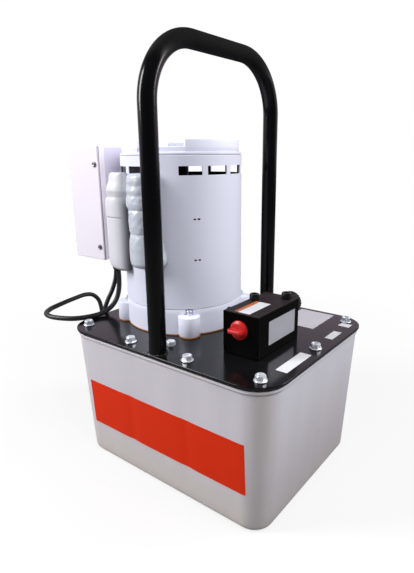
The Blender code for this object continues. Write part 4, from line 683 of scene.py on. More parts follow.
@cache
def cast_metal():
    """Bare grey casting."""
    f = Finish("cast_metal", metallic=1.0)
    return f.grained(f.noise(340, 4), (0.55, 0.55, 0.57), 0.15, (0.40, 0.25), (0.2, 0.0004))


@cache
def windings():
    """Varnished copper wire on the stator, laid round the motor."""
    f = Finish("windings", specular_ior_level=0.6)
    wires = (f.axes()[2] * 5200 + f.noise(60) * 9).sine() * 0.5 + 0.5
    f.set("Base Color", f.mix(wires, (0.16, 0.055, 0.018), (0.48, 0.19, 0.065)))
    f.set("Metallic", 0.35 + wires * 0.3)
    f.set("Roughness", 0.30 + f.noise(150) * 0.25)
    f.bump(wires, 0.35, 0.0004)
    return f.material


@cache
def screen_mesh():
    """Woven wire of the strainer."""
    f = Finish("screen_mesh", metallic=1.0)
    x, y, z = f.axes()
    weave = (z * 3600).sine() * ((x + y) * 3600).sine() * 0.5 + 0.5
    f.set("Base Color", f.mix(weave, (0.16, 0.155, 0.14), (0.58, 0.57, 0.53)))
    f.set("Roughness", 0.35 + weave * 0.2)
    f.bump(weave, 0.4, 0.0004)
    return f.material


# Mesh tools


def outline_of(half_x, half_y, radius, steps=12, side=1):
    """A rounded rectangle, anticlockwise, each straight side cut into as many lengths as asked."""
    arcs = []
    for corner, (sx, sy) in enumerate(((1, 1), (-1, 1), (-1, -1), (1, -1))):
        x, y = sx * (half_x - radius), sy * (half_y - radius)
        turns = [pi / 2 * (corner + i / steps) for i in range(steps + 1)]
        arcs.append([Vector((x + radius * cos(t), y + radius * sin(t))) for t in turns])
    points = []
    for arc, following in zip(arcs, arcs[1:] + arcs[:1]):
        points += arc + [arc[-1].lerp(following[0], i / side) for i in range(1, side)]
    return points


def round_about(steps):
    """The turns of so many even steps about an axis."""
    return [2 * pi * i / steps for i in range(steps)]


def at_turn(t, reach=1.0):
    """The point at a turn and a reach from the axis."""
    return Vector((reach * cos(t), reach * sin(t)))


def circle_of(radius, steps):
    return [at_turn(t, radius) for t in round_about(steps)]


def hexagon_of(across, steps=SMALL):
    """A hexagon as a ring of many points."""
    points = []
    for spoke in circle_of(1, steps):
        turn = atan2(spoke.y, spoke.x)
        off = (turn + pi / 6) % (pi / 3) - pi / 6
        points.append(spoke * across / 2 / cos(off))
    return points


def level(outline, z):
    return [Vector((p.x, p.y, z)) for p in outline]


def eased(points, radius, steps=EASE):
    """A line of points with its corners rounded."""
    points = [Vector(p) for p in points]
    made = [points[0]]
    for before, corner, after in zip(points, points[1:], points[2:]):
        reach_in = min(radius, 0.45 * (corner - before).length)
        reach_out = min(radius, 0.45 * (after - corner).length)
        start = corner + (before - corner).normalized() * reach_in
        end = corner + (after - corner).normalized() * reach_out
        for i in range(steps + 1):
            t = i / steps
            made.append(start * (1 - t) ** 2 + corner * 2 * t * (1 - t) + end * t**2)
    return made + [points[-1]]


def skin(rings, closed=False):
    """A closed skin over rings of equally many points."""
    bm = bmesh.new()
    rows = [[bm.verts.new(point) for point in ring] for ring in rings]
    pairs = list(zip(rows, rows[1:]))
    if closed:
        pairs.append((rows[-1], rows[0]))
    for below, above in pairs:
        for i in range(len(below)):
            bm.faces.new((below[i - 1], below[i], above[i], above[i - 1]))
    if not closed:
        bm.faces.new(rows[0])
        bm.faces.new(rows[-1])
    return bm


def turned(profile, steps=ROUND, closed=False):
    """A profile of radius and height, turned about Z. A radius of 0 closes an end."""
    rings = [level(circle_of(radius, steps), z) for radius, z in profile if radius > 0]
    return skin(rings, closed)


def pillow(outline_at, low, high, edge, steps=EASE):
    """A slab whose outline is drawn in at its rounded upper and lower edges."""
    rings = []
    turns = [pi / 2 * i / steps for i in range(steps + 1)]
    for t in turns:
        rings.append(level(outline_at(edge * (1 - sin(t))), low + edge * (1 - cos(t))))
    for t in reversed(turns):
        rings.append(level(outline_at(edge * (1 - sin(t))), high - edge * (1 - cos(t))))
    return skin(rings)


def rounded_block(half_x, half_y, corner, low, high, edge):
    def outline_at(inset):
        return outline_of(half_x - inset, half_y - inset, max(corner - inset, 0.0001), 4)

    return pillow(outline_at, low, high, edge)


def merged(*parts):
    """Several bmeshes as one."""
    whole = bmesh.new()
    for part in parts:
        mesh = bpy.data.meshes.new("part")
        part.to_mesh(mesh)
        part.free()
        whole.from_mesh(mesh)
        bpy.data.meshes.remove(mesh)
    return whole


def moved(bm, *steps):
    for step in steps:
        bmesh.ops.transform(bm, matrix=step, verts=bm.verts)
    return bm


def to(place):
    return Matrix.Translation(place)


def turn(degrees, axis):
    return Matrix.Rotation(radians(degrees), 4, axis)


def placed(name, data):
    """A new object of the scene."""
    made = bpy.data.objects.new(name, data)
    bpy.context.scene.collection.objects.link(made)
    return made


def object_of(name, bm, angle=32):
    bmesh.ops.recalc_face_normals(bm, faces=bm.faces)
    mesh = bpy.data.meshes.new(name)
    bm.to_mesh(mesh)
    bm.free()
    smooth(mesh, angle)
    return placed(name, mesh)


def smooth(mesh, angle):
    """Smooth shading across soft edges; large flat ends stay flat."""
    mesh.set_sharp_from_angle(angle=radians(angle))
    for face in mesh.polygons:
        face.use_smooth = len(face.vertices) < FEW_CORNERS and face.area < LARGE_FLAT


def paint(obj, material):
    obj.data.materials.clear()
    obj.data.materials.append(material)


def dress(obj, material, body="unit", nodes=()):
    """Gives a finished piece its material and its body, and hides the imported parts that it stands for."""
    paint(obj, material)
    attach(obj, body)
    if nodes:
        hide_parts(*nodes)
    return obj


def plain_mesh(obj, angle=32):
    """Turns an object with modifiers into a plain mesh."""
    bpy.context.view_layer.update()
    graph = bpy.context.evaluated_depsgraph_get()
    mesh = bpy.data.meshes.new_from_object(obj.evaluated_get(graph))
    name = obj.name
    bpy.data.objects.remove(obj, do_unlink=True)
    smooth(mesh, angle)
    mesh.name = name
    return placed(name, mesh)


def carved(obj, *cutters, angle=32):
    """Cuts closed shapes out of a piece."""
    tools = [object_of(f"cutter_{i}", bm) for i, bm in enumerate(cutters)]
    for tool in tools:
        modifier = obj.modifiers.new(tool.name, "BOOLEAN")
        modifier.operation = "DIFFERENCE"
        modifier.object = tool
    made = plain_mesh(obj, angle)
    for tool in tools:
        bpy.data.objects.remove(tool, do_unlink=True)
    return made


# Geometry node trees


class Shaper(Tree):
    """A geometry node tree with named inputs: the geometry first and the finish last."""

    def __init__(self, name, **inputs):
        super().__init__(bpy.data.node_groups.new(name, "GeometryNodeTree"))
        self.keys = {}
        for label, (kind, *default) in {"Geometry": ["Geometry"], **inputs, "Finish": ["Material"]}.items():
            socket = self.tree.interface.new_socket(label, in_out="INPUT", socket_type=f"NodeSocket{kind}")
            for value in default:
                socket.default_value = value
            self.keys[label] = socket.identifier
        source = self.tree.nodes.new("NodeGroupInput")
        self.given = {label: Value(self, source.outputs[label]) for label in self.keys}

    def end(self, geometry):
        whole = self.node("GeometryNodeRealizeInstances", {}, {0: geometry})
        sockets = {"Geometry": whole, "Material": self.given["Finish"]}
        done = self.node("GeometryNodeSetMaterial", {}, sockets)
        self.tree.interface.new_socket("Geometry", in_out="OUTPUT", socket_type="NodeSocketGeometry")
        self.join(done, self.tree.nodes.new("NodeGroupOutput").inputs[0])
        return self

    def run(self, obj, **values):
        """Runs the tree on an object and returns the plain mesh object."""
        modifier = obj.modifiers.new(self.tree.name, "NODES")
        modifier.node_group = self.tree
        for name, value in values.items():
            modifier[self.keys[name.capitalize()]] = value
        return plain_mesh(obj)


@cache
def repeat_tree():
    """One copy of a piece on every point, each with a turn of its own."""
    s = Shaper("one_on_each_point", Piece=["Object"], Spread=["Float", 1.0], Seed=["Int", 7])
    piece = s.node("GeometryNodeObjectInfo", {}, {"Object": s.given["Piece"]}, output=4)
    sockets = {2: s.given["Spread"] * -1, 3: s.given["Spread"], 8: s.given["Seed"]}
    spin = s.node("FunctionNodeRandomValue", {}, sockets, output=1)
    turns = s.node("ShaderNodeCombineXYZ", {}, {"Z": spin})
    sockets = {"Points": s.given["Geometry"], "Instance": piece, "Rotation": turns}
    return s.end(s.node("GeometryNodeInstanceOnPoints", {}, sockets))


@cache
def tube_tree():
    """A round tube along a line of edges."""
    s = Shaper("tube_along_line", Radius=["Float", 0.011], Sides=["Int", 48])
    line = s.node("GeometryNodeMeshToCurve", {}, {0: s.given["Geometry"]})
    sockets = {"Resolution": s.given["Sides"], "Radius": s.given["Radius"]}
    ring = s.node("GeometryNodeCurvePrimitiveCircle", {}, sockets)
    sockets = {"Curve": line, "Profile Curve": ring, "Fill Caps": True}
    return s.end(s.node("GeometryNodeCurveToMesh", {}, sockets))


@cache
def window_tree():
    """Box-shaped windows through a shell, set out round its axis with one place left solid."""
    s = Shaper(
        "windows_round_shell",
        Places=["Int", WINDOW_PLACES],
        First=["Float", WINDOW_FIRST],
        Radius=["Float", MOTOR_RADIUS],
        Level=["Float", 0.0],
        Box=["Vector", (0.012, 0.030, 0.011)],
    )
    places, radius = s.given["Places"], s.given["Radius"]
    angle = s.node("GeometryNodeInputIndex") * (2 * pi) / places + s.given["First"]
    x = angle.cosine() * radius + MOTOR.x
    y = angle.sine() * radius + MOTOR.y
    place = s.node("ShaderNodeCombineXYZ", {}, {0: x, 1: y, 2: s.given["Level"]})
    points = s.node("GeometryNodePoints", {}, {"Count": places - 1, "Position": place})
    cube = s.node("GeometryNodeMeshCube", {}, {"Size": s.given["Box"]})
    turns = s.node("ShaderNodeCombineXYZ", {}, {"Z": angle})
    sockets = {"Points": points, "Instance": cube, "Rotation": turns}
    cutters = s.node("GeometryNodeInstanceOnPoints", {}, sockets)
    whole = s.node("GeometryNodeRealizeInstances", {}, {0: cutters})
    settings = {"operation": "DIFFERENCE", "solver": "EXACT"}
    return s.end(s.node("GeometryNodeMeshBoolean", settings, {0: s.given["Geometry"], 1: whole}))


def points_object(name, places, edges=()):
    mesh = bpy.data.meshes.new(name)
    mesh.from_pydata([tuple(p) for p in places], edges, [])
    return placed(name, mesh)


def repeated(name, bm, places, material, seed):
    """Copies of one shape at several places, each turned freely, as one plain mesh."""
    piece = object_of("piece", bm)
    holder = points_object(name, places)
    made = repeat_tree().run(holder, piece=piece, spread=3.1, seed=seed, finish=material)
    bpy.data.objects.remove(piece, do_unlink=True)
    return made


def tube_along(name, points, radius, sides, material):
    holder = points_object(name, points, [(i, i + 1) for i in range(len(points) - 1)])
    return tube_tree().run(holder, radius=radius, sides=sides, finish=material)


# Shapes shared by several pieces


def bolt_shape(across, head, washer=0.0, washer_thick=0.0, shank=0.003, length=0.02):
    """A hex bolt pointing down, its head chamfered and dished, with the underside at the origin."""
    corner = across / sqrt(3)
    rings = [level(circle_of(shank, SMALL), -length), level(circle_of(shank, SMALL), 0)]
    if washer:
        soft = washer_thick * 0.3
        for radius, z in (
            (washer - soft, 0),
            (washer, soft),
            (washer, washer_thick - soft),
            (washer - soft, washer_thick),
        ):
            rings.append(level(circle_of(radius, SMALL), z))
    flats = hexagon_of(across)
    rings.append(level(flats, washer_thick))
    for share, reach in ((0.68, 1.01), (0.83, 0.95), (0.94, 0.87), (1.0, 0.78)):
        cone = corner * reach
        ring = [p if p.length < cone else p.normalized() * cone for p in flats]
        rings.append(level(ring, washer_thick + head * share))
    for share, reach in ((0.97, 0.37), (0.80, 0.27), (0.78, 0.04)):
        rings.append(level(circle_of(across * reach, SMALL), washer_thick + head * share))
    return skin(rings)


def socket_screw_shape(radius, head, socket, shank, length):
    """A cap screw with a knurled side and a hexagon socket."""
    knurl = [p * (1 - 0.025 * (i % 2)) for i, p in enumerate(circle_of(radius, 2 * SMALL))]
    hexes = hexagon_of(2 * socket, 2 * SMALL)
    ring = circle_of(shank, 2 * SMALL)
    chamfer = head * 0.08
    rim = circle_of(radius - chamfer, 2 * SMALL)
    rings = [level(ring, -length), level(ring, 0), level(rim, 0), level(knurl, chamfer)]
    rings += [level(knurl, head - 1.6 * chamfer), level(rim, head), level(hexes, head)]
    rings.append(level([p * 0.97 for p in hexes], head * 0.45))
    return skin(rings)


def flat_label(half_x, half_y, corner):
    return rounded_block(half_x, half_y, corner, 0, sizes().film, sizes().film * 0.4)


def laid_label(spot, z, corner=0.0008):
    """A film laid flat on a level."""
    x0, x1, y0, y1 = spot
    label = flat_label((x1 - x0) / 2, (y1 - y0) / 2, corner)
    return moved(label, to(((x0 + x1) / 2, (y0 + y1) / 2, z)))


def fasteners(name, nodes, seat, shape_of, look, seed):
    """Like fasteners seated on one level, as one piece."""
    low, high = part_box(nodes[0])
    places = [(*middle_of(node).xy, seat) for node in nodes]
    made = repeated(name, shape_of(high.z - seat, seat - low.z), places, look, seed)
    dress(made, look, nodes=nodes)


def hex_bolts(name, nodes, seat, bolt, seed):
    across, washer, thick = bolt

    def shape_of(rise, depth):
        return bolt_shape(across, rise - thick, washer, thick, length=depth)

    fasteners(name, nodes, seat, shape_of, zinc_plate(), seed)


def ribbed_sleeve(start, end, length, ribs=6):
    """A tapered sleeve with ring grooves, from its wide end at 0 down to the cord."""
    profile = [(end * 0.6, -length), (end, -length)]
    for i in range(ribs):
        high = -length * (1 - (i + 1) / (ribs + 1))
        radius = end + (start - end) * (i + 1) / (ribs + 1)
        step = length / (ribs + 1)
        profile += [(radius, high - step * 0.45), (radius - 0.0006, high - step * 0.40)]
        profile += [(radius - 0.0006, high - step * 0.1), (radius + 0.0001, high - step * 0.05)]
    profile += [(start, -0.0008), (start - 0.0004, 0), (start * 0.6, 0)]
    return turned(profile, SMALL)


class Maker:
    """What the operators share: each makes one piece, or a group of pieces that belong together."""

    def execute(self, context):
        self.make()
        return {"FINISHED"}


# Tank


def clipped(value):
    """A value kept between 0 and 1."""
    return min(max(value, 0), 1)


def tank_draft(z):
    return TANK_DRAFT * (1 - z / TANK_HIGH.z)


def sink_at(x, y, z):
    """How far a wall is drawn in at the soft marks under the bolts."""
    width = sizes().sink_width
    fade = clipped((TANK_HIGH.z - SINK_EDGE - z) / SINK_FADE) * clipped((z - SINK_EDGE) / SINK_FADE)
    marks = SINK_MARKS if abs(y) > abs(x) * 0.8 and abs(x) < 0.125 else (0.0,)
    along = x if len(marks) == 2 else y
    deep = sum(exp(-(((along - m) / width) ** 2)) for m in marks)
    return sizes().sink_depth * fade * deep


def tank_ring(z, inset, marked=True):
    """The tank's outline at a height, drawn in by an inset."""
    rim_x, rim_y = TANK_HIGH.x - TANK_RIM_OUT, TANK_HIGH.y - TANK_RIM_OUT
    corner = PLATE_CORNER - (PLATE_HIGH.x - rim_x)
    inset = inset + tank_draft(z)
    points = outline_of(rim_x - inset, rim_y - inset, corner - inset, 16, 36)
    made = []
    for p in points:
        deep = sink_at(p.x, p.y, z) if marked else 0
        if abs(p.y) > rim_y - inset - 0.0005:
            p = Vector((p.x, p.y - copysign(deep, p.y)))
        elif abs(p.x) > rim_x - inset - 0.0005:
            p = Vector((p.x - copysign(deep, p.x), p.y))
        made.append(Vector((p.x, p.y, z)))
    return made


def front_wall(x, z):
    """The y of the tank's front wall at a place on it."""
    rim_x, rim_y = TANK_HIGH.x - TANK_RIM_OUT, TANK_HIGH.y - TANK_RIM_OUT
    draft = tank_draft(z)
    radius = PLATE_CORNER - (PLATE_HIGH.x - rim_x) - draft
    flat = rim_x - draft - radius
    beyond = min(max(abs(x) - flat, 0), radius)
    back = radius - sqrt(radius**2 - beyond**2)
    return -(rim_y - draft - back - (sink_at(x, -rim_y, z) if beyond == 0 else 0))


def make_tank():
    foot = sizes().foot_round
    top = TANK_HIGH.z
    rings = []
    for i in range(7):
        t = pi / 2 * i / 6
        rings.append(tank_ring(foot * (1 - cos(t)), foot * (1 - sin(t)), False))
    rim_low = top - TANK_RIM_HEIGHT
    rings += [tank_ring(foot + (rim_low - foot) * i / 16, 0) for i in range(1, 16)]
    rings.append(tank_ring(rim_low, 0, False))
    out = -TANK_RIM_OUT
    lip = ((0.0004, out * 0.75), (0.0012, out), (TANK_RIM_HEIGHT - 0.0012, out))
    lip += ((TANK_RIM_HEIGHT, out * 0.3),)
    rings += [tank_ring(rim_low + rise, reach, False) for rise, reach in lip]
    rings.append(tank_ring(top, TANK_WALL - 0.0006, False))
    rings += [tank_ring(z, TANK_WALL, False) for z in (top - 0.0006, TANK_FLOOR + 0.006)]
    rings.append(tank_ring(TANK_FLOOR + 0.002, TANK_WALL + 0.0018, False))
    rings.append(tank_ring(TANK_FLOOR, TANK_WALL + 0.006, False))
    tank = object_of("milky_tank", skin(rings), 50)
    dress(tank, milky_plastic(), nodes=["reservoir_tank"])

    s = sizes()
    columns, rows = 72, 12
    strips = []
    for i in range(columns + 1):
        x = s.band_left + (s.band_right - s.band_left) * i / columns
        heights = [s.band_low + (s.band_high - s.band_low) * j / rows for j in range(rows + 1)]
        front = [Vector((x, front_wall(x, z) - s.film, z)) for z in heights]
        back = [Vector((x, front_wall(x, z) - s.film * 0.05, z)) for z in reversed(heights)]
        strips.append(front + back)
    dress(object_of("front_band", skin(strips), 50), film("band_film", tuple(colours().band), 0.30, 0.0))
    paint(NODES["tank_gasket"], sheet_rubber())


class UNIT_OT_tank(Maker, bpy.types.Operator):
    """Moulded tank and the plain band across its front"""

    bl_idname = "unit.tank"
    bl_label = "Tank"
    make = staticmethod(make_tank)


# Cover plate, bolts, handle


def make_deck():
    def plate_outline(inset):
        return outline_of(PLATE_HIGH.x - inset, PLATE_HIGH.y - inset, PLATE_CORNER - inset, 20)

    plate = object_of("painted_plate", pillow(plate_outline, PLATE_LOW.z, DECK, sizes().plate_edge))
    vent = middle_of("vent_plug")
    hole = turned(((0.0051, PLATE_LOW.z - 0.004), (0.0051, DECK + 0.004)), SMALL)
    plate = carved(plate, moved(hole, to((vent.x, vent.y, 0))))
    dress(plate, plate_paint(), nodes=["cover_plate"])

    seat = DECK + JOINT_GAP
    hex_bolts("deck_bolts", [f"deck_bolt_{i:02d}" for i in range(1, 11)], seat, DECK_BOLT, 3)
    low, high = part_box("vent_plug")
    shape = bolt_shape(0.011, high.z - seat, shank=0.0045, length=seat - low.z)
    plug = object_of("vent_hex", moved(shape, turn(12, "Z"), to((vent.x, vent.y, seat))))
    dress(plug, zinc_plate(), "vent_plug", ["vent_plug"])

    silver = film("plate_film", tuple(colours().label_plate), 0.32, 0.35)
    for name, spot in PLATE_LABELS.items():
        label = object_of(f"deck_label_{name}", laid_label(spot, DECK + sizes().film * 0.1))
        dress(label, silver if name == "large" else white_film())


class UNIT_OT_deck(Maker, bpy.types.Operator):
    """Cover plate with its bolts, vent plug and blank labels"""

    bl_idname = "unit.deck"
    bl_label = "Cover plate"
    make = staticmethod(make_deck)


def weld_bead(radius):
    """A ring of weld with small ripples."""
    rings = []
    for t in round_about(120):
        reach = WELD_REACH * (1 + 0.16 * sin(21 * t) + 0.10 * sin(5 * t))
        section = [(-0.0004, 0.0001), (reach, 0.0001), (reach * 0.72, reach * 0.60), (-0.0004, reach)]
        rings.append([Vector((*at_turn(t, radius + out), rise)) for out, rise in section])
    return skin(rings, closed=True)


def make_handle():
    low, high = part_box("carry_handle")
    radius = (high.x - low.x) / 2
    x = (low.x + high.x) / 2
    half, top, bend = high.y - radius, high.z - radius, HANDLE_BEND
    turns = [pi / 2 * i / 24 for i in range(25)]
    arc = [(half - bend * (1 - cos(t)), top - bend * (1 - sin(t))) for t in turns]
    legs = [(half, low.z + (top - bend - low.z) * i / 12) for i in range(12)]
    side = legs + arc
    points = [(x, y, z) for y, z in side] + [(x, -y, z) for y, z in reversed(side)]
    bar = tube_along("painted_handle", points, radius, 48, handle_paint())
    dress(bar, handle_paint(), nodes=["carry_handle"])
    for name, y in (("front", -half), ("rear", half)):
        bead = moved(weld_bead(radius), to((x, y, DECK)))
        dress(object_of(f"weld_bead_{name}", bead, 60), plate_paint())


class UNIT_OT_handle(Maker, bpy.types.Operator):
    """Bent tube handle with its weld beads"""

    bl_idname = "unit.handle"
    bl_label = "Carrying handle"
    make = staticmethod(make_handle)


# Motor


def off_lug(t):
    """The turn from the middle of the nearest lug."""
    return t % (pi / 2) - pi / 4


def base_outline(inset=0.0):
    """Footprint of the base casting: a circle blended into four lugs."""
    blend = sizes().lug_fillet
    round_part, radius = MOTOR_RADIUS - min(inset, 0.0), LUG_RADIUS - inset
    points = []
    for t in round_about(CASTING):
        across = LUG_CIRCLE * sin(off_lug(t))
        lug = near = 0.0
        if abs(across) < radius:
            lug = LUG_CIRCLE * cos(off_lug(t)) + sqrt(radius**2 - across**2)
            near = max(0.0, 1 - abs(round_part - lug) / blend)
        points.append(at_turn(t, max(round_part, lug) + blend * near**2 / 4))
    return points


def base_wall(inset=0.0):
    """The casting above its lugs: a circle with a niche behind each bolt."""
    niche = LUG_NICHE + inset
    points = []
    for t in round_about(CASTING):
        reach = MOTOR_RADIUS - inset
        across = LUG_CIRCLE * sin(off_lug(t))
        if abs(across) < niche:
            reach = min(reach, LUG_CIRCLE * cos(off_lug(t)) - sqrt(niche**2 - across**2))
        points.append(at_turn(t, reach))
    return points


def make_base():
    edge = sizes().casting_edge
    low, top = BASE_LOW.z, BASE_HIGH.z
    floor = low + 0.009
    foot = ((0.0004, low), (0.0, low + 0.0006), (0.0, LUG_TOP - edge))
    foot += ((edge * 0.3, LUG_TOP - edge * 0.3), (edge, LUG_TOP))
    wall = ((0.0, LUG_TOP + 0.0004), (0.0, top - edge), (edge * 0.3, top - edge * 0.3), (edge, top))
    rings = [level(base_outline(inset), z) for inset, z in foot]
    rings += [level(base_wall(inset), z) for inset, z in wall]
    inner = ((BASE_BORE, top), (BASE_BORE, floor), (HUB_OUT, floor), (HUB_OUT, floor + 0.0135))
    inner += ((HUB_BORE, floor + 0.0135), (HUB_BORE, floor), (SHAFT_HOLE, floor), (SHAFT_HOLE, low))
    rings += [level(circle_of(radius, CASTING), z) for radius, z in inner]
    base = object_of("painted_base", moved(skin(rings, closed=True), to(MOTOR)), 40)
    dress(base, motor_paint(), nodes=["motor_base"])

    gasket_low, gasket_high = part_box("motor_gasket")
    rings = [level(base_outline(-0.0007), z) for z in (gasket_low.z, gasket_high.z)]
    rings += [level(circle_of(0.060, CASTING), z) for z in (gasket_high.z, gasket_low.z)]
    gasket = object_of("fibre_gasket", moved(skin(rings, closed=True), to(MOTOR)))
    dress(gasket, fibre_gasket(), nodes=["motor_gasket"])

    nodes = [f"lug_bolt_{i}" for i in range(1, 5)]
    hex_bolts("lug_bolts", nodes, LUG_TOP + JOINT_GAP, LUG_BOLT, 11)


def make_shell():
    s = sizes()
    edge = 0.0006
    bore = MOTOR_RADIUS - 0.003
    low, high = SHELL_LOW.z, SHELL_HIGH.z
    profile = (
        (bore, low),
        (MOTOR_RADIUS - edge, low),
        (MOTOR_RADIUS, low + edge),
        (MOTOR_RADIUS, high - edge),
        (MOTOR_RADIUS - edge, high),
        (bore, high),
    )
    shell = object_of("painted_shell", moved(turned(profile, FINE, closed=True), to(MOTOR)))
    shell = window_tree().run(
        shell,
        places=WINDOW_PLACES,
        first=WINDOW_FIRST,
        radius=MOTOR_RADIUS - 0.0015,
        level=high - s.window_drop - s.window_height / 2,
        box=(0.014, s.window_width, s.window_height),
        finish=shell_paint(),
    )
    dress(shell, shell_paint(), nodes=["motor_shell"])
    dents = []
    for rise in LANCE_HEIGHTS:
        for degrees in LANCE_TURNS:
            dent = turned(((0.0009, -0.0003), (0.0014, 0.0), (0.0009, 0.00022), (0.0003, 0.0003)), 20)
            out = to(MOTOR + Vector((0, 0, DECK + rise))) @ turn(degrees, "Z") @ to((MOTOR_RADIUS, 0, 0))
            dents.append(moved(dent, Matrix.Diagonal((0.8, 1.35, 1, 1)), turn(90, "Y"), out))
    # Painted shade: the dents take the dark black oxide finish.
    dress(object_of("shell_lances", merged(*dents)), black_screw())


def make_bell():
    edge = sizes().casting_edge
    flange_low = SHELL_HIGH.z + JOINT_GAP
    flange_top = flange_low + 0.0035
    drum_top = flange_top + 0.007
    flange, drum = MOTOR_RADIUS - 0.0004, MOTOR_RADIUS - 0.005
    roof = drum_top - 0.004
    hub_low = BELL_LOW.z
    outside = ((0.0, drum_top), (0.030, drum_top), (drum, drum_top), (drum, flange_top))
    outside += ((flange, flange_top), (flange, flange_low), (drum - 0.004, flange_low))
    inside = ((drum - 0.004, roof), (HUB_OUT, roof), (HUB_OUT, hub_low), (HUB_BORE, hub_low))
    inside += ((HUB_BORE, hub_low + 0.0126), (0.0, hub_low + 0.0126))
    pieces = [moved(turned(eased(outside, edge) + list(inside), FINE), to(MOTOR))]
    outer, inner = MOTOR_RADIUS - 0.0034, MOTOR_RADIUS - 0.0159

    for number in range(3):
        first = BELL_RIM_FIRST + 2 * pi * number / 3

        def sector(inset, first=first):
            lean = inset / outer
            turns = [first + lean + (BELL_RIM_ARC - 2 * lean) * i / 36 for i in range(37)]
            far = [at_turn(t, outer - inset) for t in turns]
            return far + [at_turn(t, inner + inset) for t in reversed(turns)]

        pieces.append(moved(pillow(sector, flange_top - 0.002, BELL_HIGH.z, 0.0014), to(MOTOR)))
    whole = object_of("painted_bell", merged(*pieces), 40)
    dress(whole, bell_paint(), nodes=["motor_end_bell"])


def make_motor():
    make_base()
    make_shell()
    make_bell()


class UNIT_OT_motor(Maker, bpy.types.Operator):
    """Motor base, shell with vent windows, and end bell"""

    bl_idname = "unit.motor"
    bl_label = "Motor"
    make = staticmethod(make_motor)


def wrinkled(point, z, away):
    """A point of the right cover: drawn in on one side above the lower cup, with soft wrinkles."""
    beside = Vector((-sin(away), cos(away)))
    along = point.dot(beside)
    above = clipped((z - CUP_TOP) / CUP_FADE)
    neck = clipped((z - NECK_LOW) / NECK_FADE)
    if along > 0:
        point = point - beside * along * CUP_DRAW * above
    else:
        point = point + beside * along * NECK_OUT * neck
    t = atan2(point.y, point.x)
    wave = sin(7 * t + 130 * z) * sin(310 * z - 3 * t) + 0.6 * sin(13 * t - 520 * z)
    return point * (1 + WRINKLE * wave * above)


def widened(point, z, away):
    """A point of the left cover, which is broader on the side of the right cover."""
    beside = Vector((-sin(away), cos(away)))
    along = point.dot(beside)
    if along > 0:
        point = point + beside * along * (LEFT_BREADTH / point.length - 1)
    return point


def kept_off(point):
    """A point moved out of the motor shell."""
    off = Vector((point.x - MOTOR.x, point.y - MOTOR.y, 0))
    least = MOTOR_RADIUS + JOINT_GAP
    if off.length < least:
        off = off.normalized() * least
    return Vector((MOTOR.x + off.x, MOTOR.y + off.y, point.z))


def make_capacitors():
    left = ((0.0145, 0.084), (0.0185, 0.0862), (0.0208, 0.0915), (0.0215, 0.098), (0.0215, 0.1566))
    left += ((0.0209, 0.1568), (0.0209, 0.1574), (0.0222, 0.1576), (0.0222, 0.1740), (0.0214, 0.1812))
    left += ((0.0198, 0.1838), (0.0195, 0.1900), (0.0197, 0.1935), (0.0188, 0.1975), (0.0160, 0.2040))
    left += ((0.0150, 0.2110), (0.0138, 0.2148), (0.0115, 0.2160))
    right = ((0.0185, 0.0955), (0.0225, 0.0972), (0.0248, 0.1012), (0.0255, 0.108), (0.0255, 0.1220))
    right += ((0.0252, 0.1300), (0.0242, 0.1365), (0.0234, 0.1392), (0.0232, 0.1405), (0.0240, 0.1425))
    right += ((0.0247, 0.1500), (0.0247, 0.1630), (0.0240, 0.1685), (0.0230, 0.1700), (0.0230, 0.1712))
    right += ((0.0241, 0.1735), (0.0247, 0.1780), (0.0242, 0.1855), (0.0232, 0.1890), (0.0240, 0.1930))
    right += ((0.0240, 0.1965), (0.0228, 0.2005), (0.0233, 0.2060), (0.0226, 0.2120), (0.0195, 0.2155))
    right += ((0.0150, 0.2160),)
    for side, profile, look in (("left", left, cover_plastic()), ("right", right, wrinkled_plastic())):
        away = CAP_TURNS[side]
        axis = MOTOR + CAP_AXIS * Vector((cos(away), sin(away), 0))
        rings = []
        for radius, z in spaced(eased(profile, 0.0012, 3), 0.0011):
            shape = wrinkled if side == "right" else widened
            ring = [shape(point, z, away) for point in circle_of(radius, 96)]
            rings.append([kept_off(axis + Vector((p.x, p.y, DECK + z))) for p in ring])
        cover = object_of(f"moulded_cover_{side}", skin(rings), 40)
        dress(cover, look, nodes=[f"capacitor_cover_{side}"])


class UNIT_OT_capacitors(Maker, bpy.types.Operator):
    """Two capacitor covers held against the motor shell"""

    bl_idname = "unit.capacitors"
    bl_label = "Capacitor covers"
    make = staticmethod(make_capacitors)


# Control box and leads


def make_cover(edge):
    """A pan with a fine groove behind its face, as where a plate is folded on a frame."""
    half, middle = (LID_HIGH - LID_LOW) / 2, (LID_HIGH + LID_LOW) / 2
    groove, face = sizes().lid_groove, edge + 0.0003
    rings = []
    for back, inset in (
        (0.0, edge),
        (edge * 0.3, edge * 0.3),
        (edge, 0.0),
        (face, 0.0),
        (face, groove),
        (face + groove, groove),
        (face + groove, 0.0),
        (LID_HIGH.y - LID_LOW.y, 0.0),
    ):
        outline = outline_of(half.x - inset, half.z - inset, max(edge - inset, 0.0002), 4)
        rings.append([Vector((middle.x + p.x, LID_LOW.y + back, middle.z + p.y)) for p in outline])
    cover = object_of("folded_cover", skin(rings))
    dress(cover, lid_paint(), nodes=["control_box_cover"])


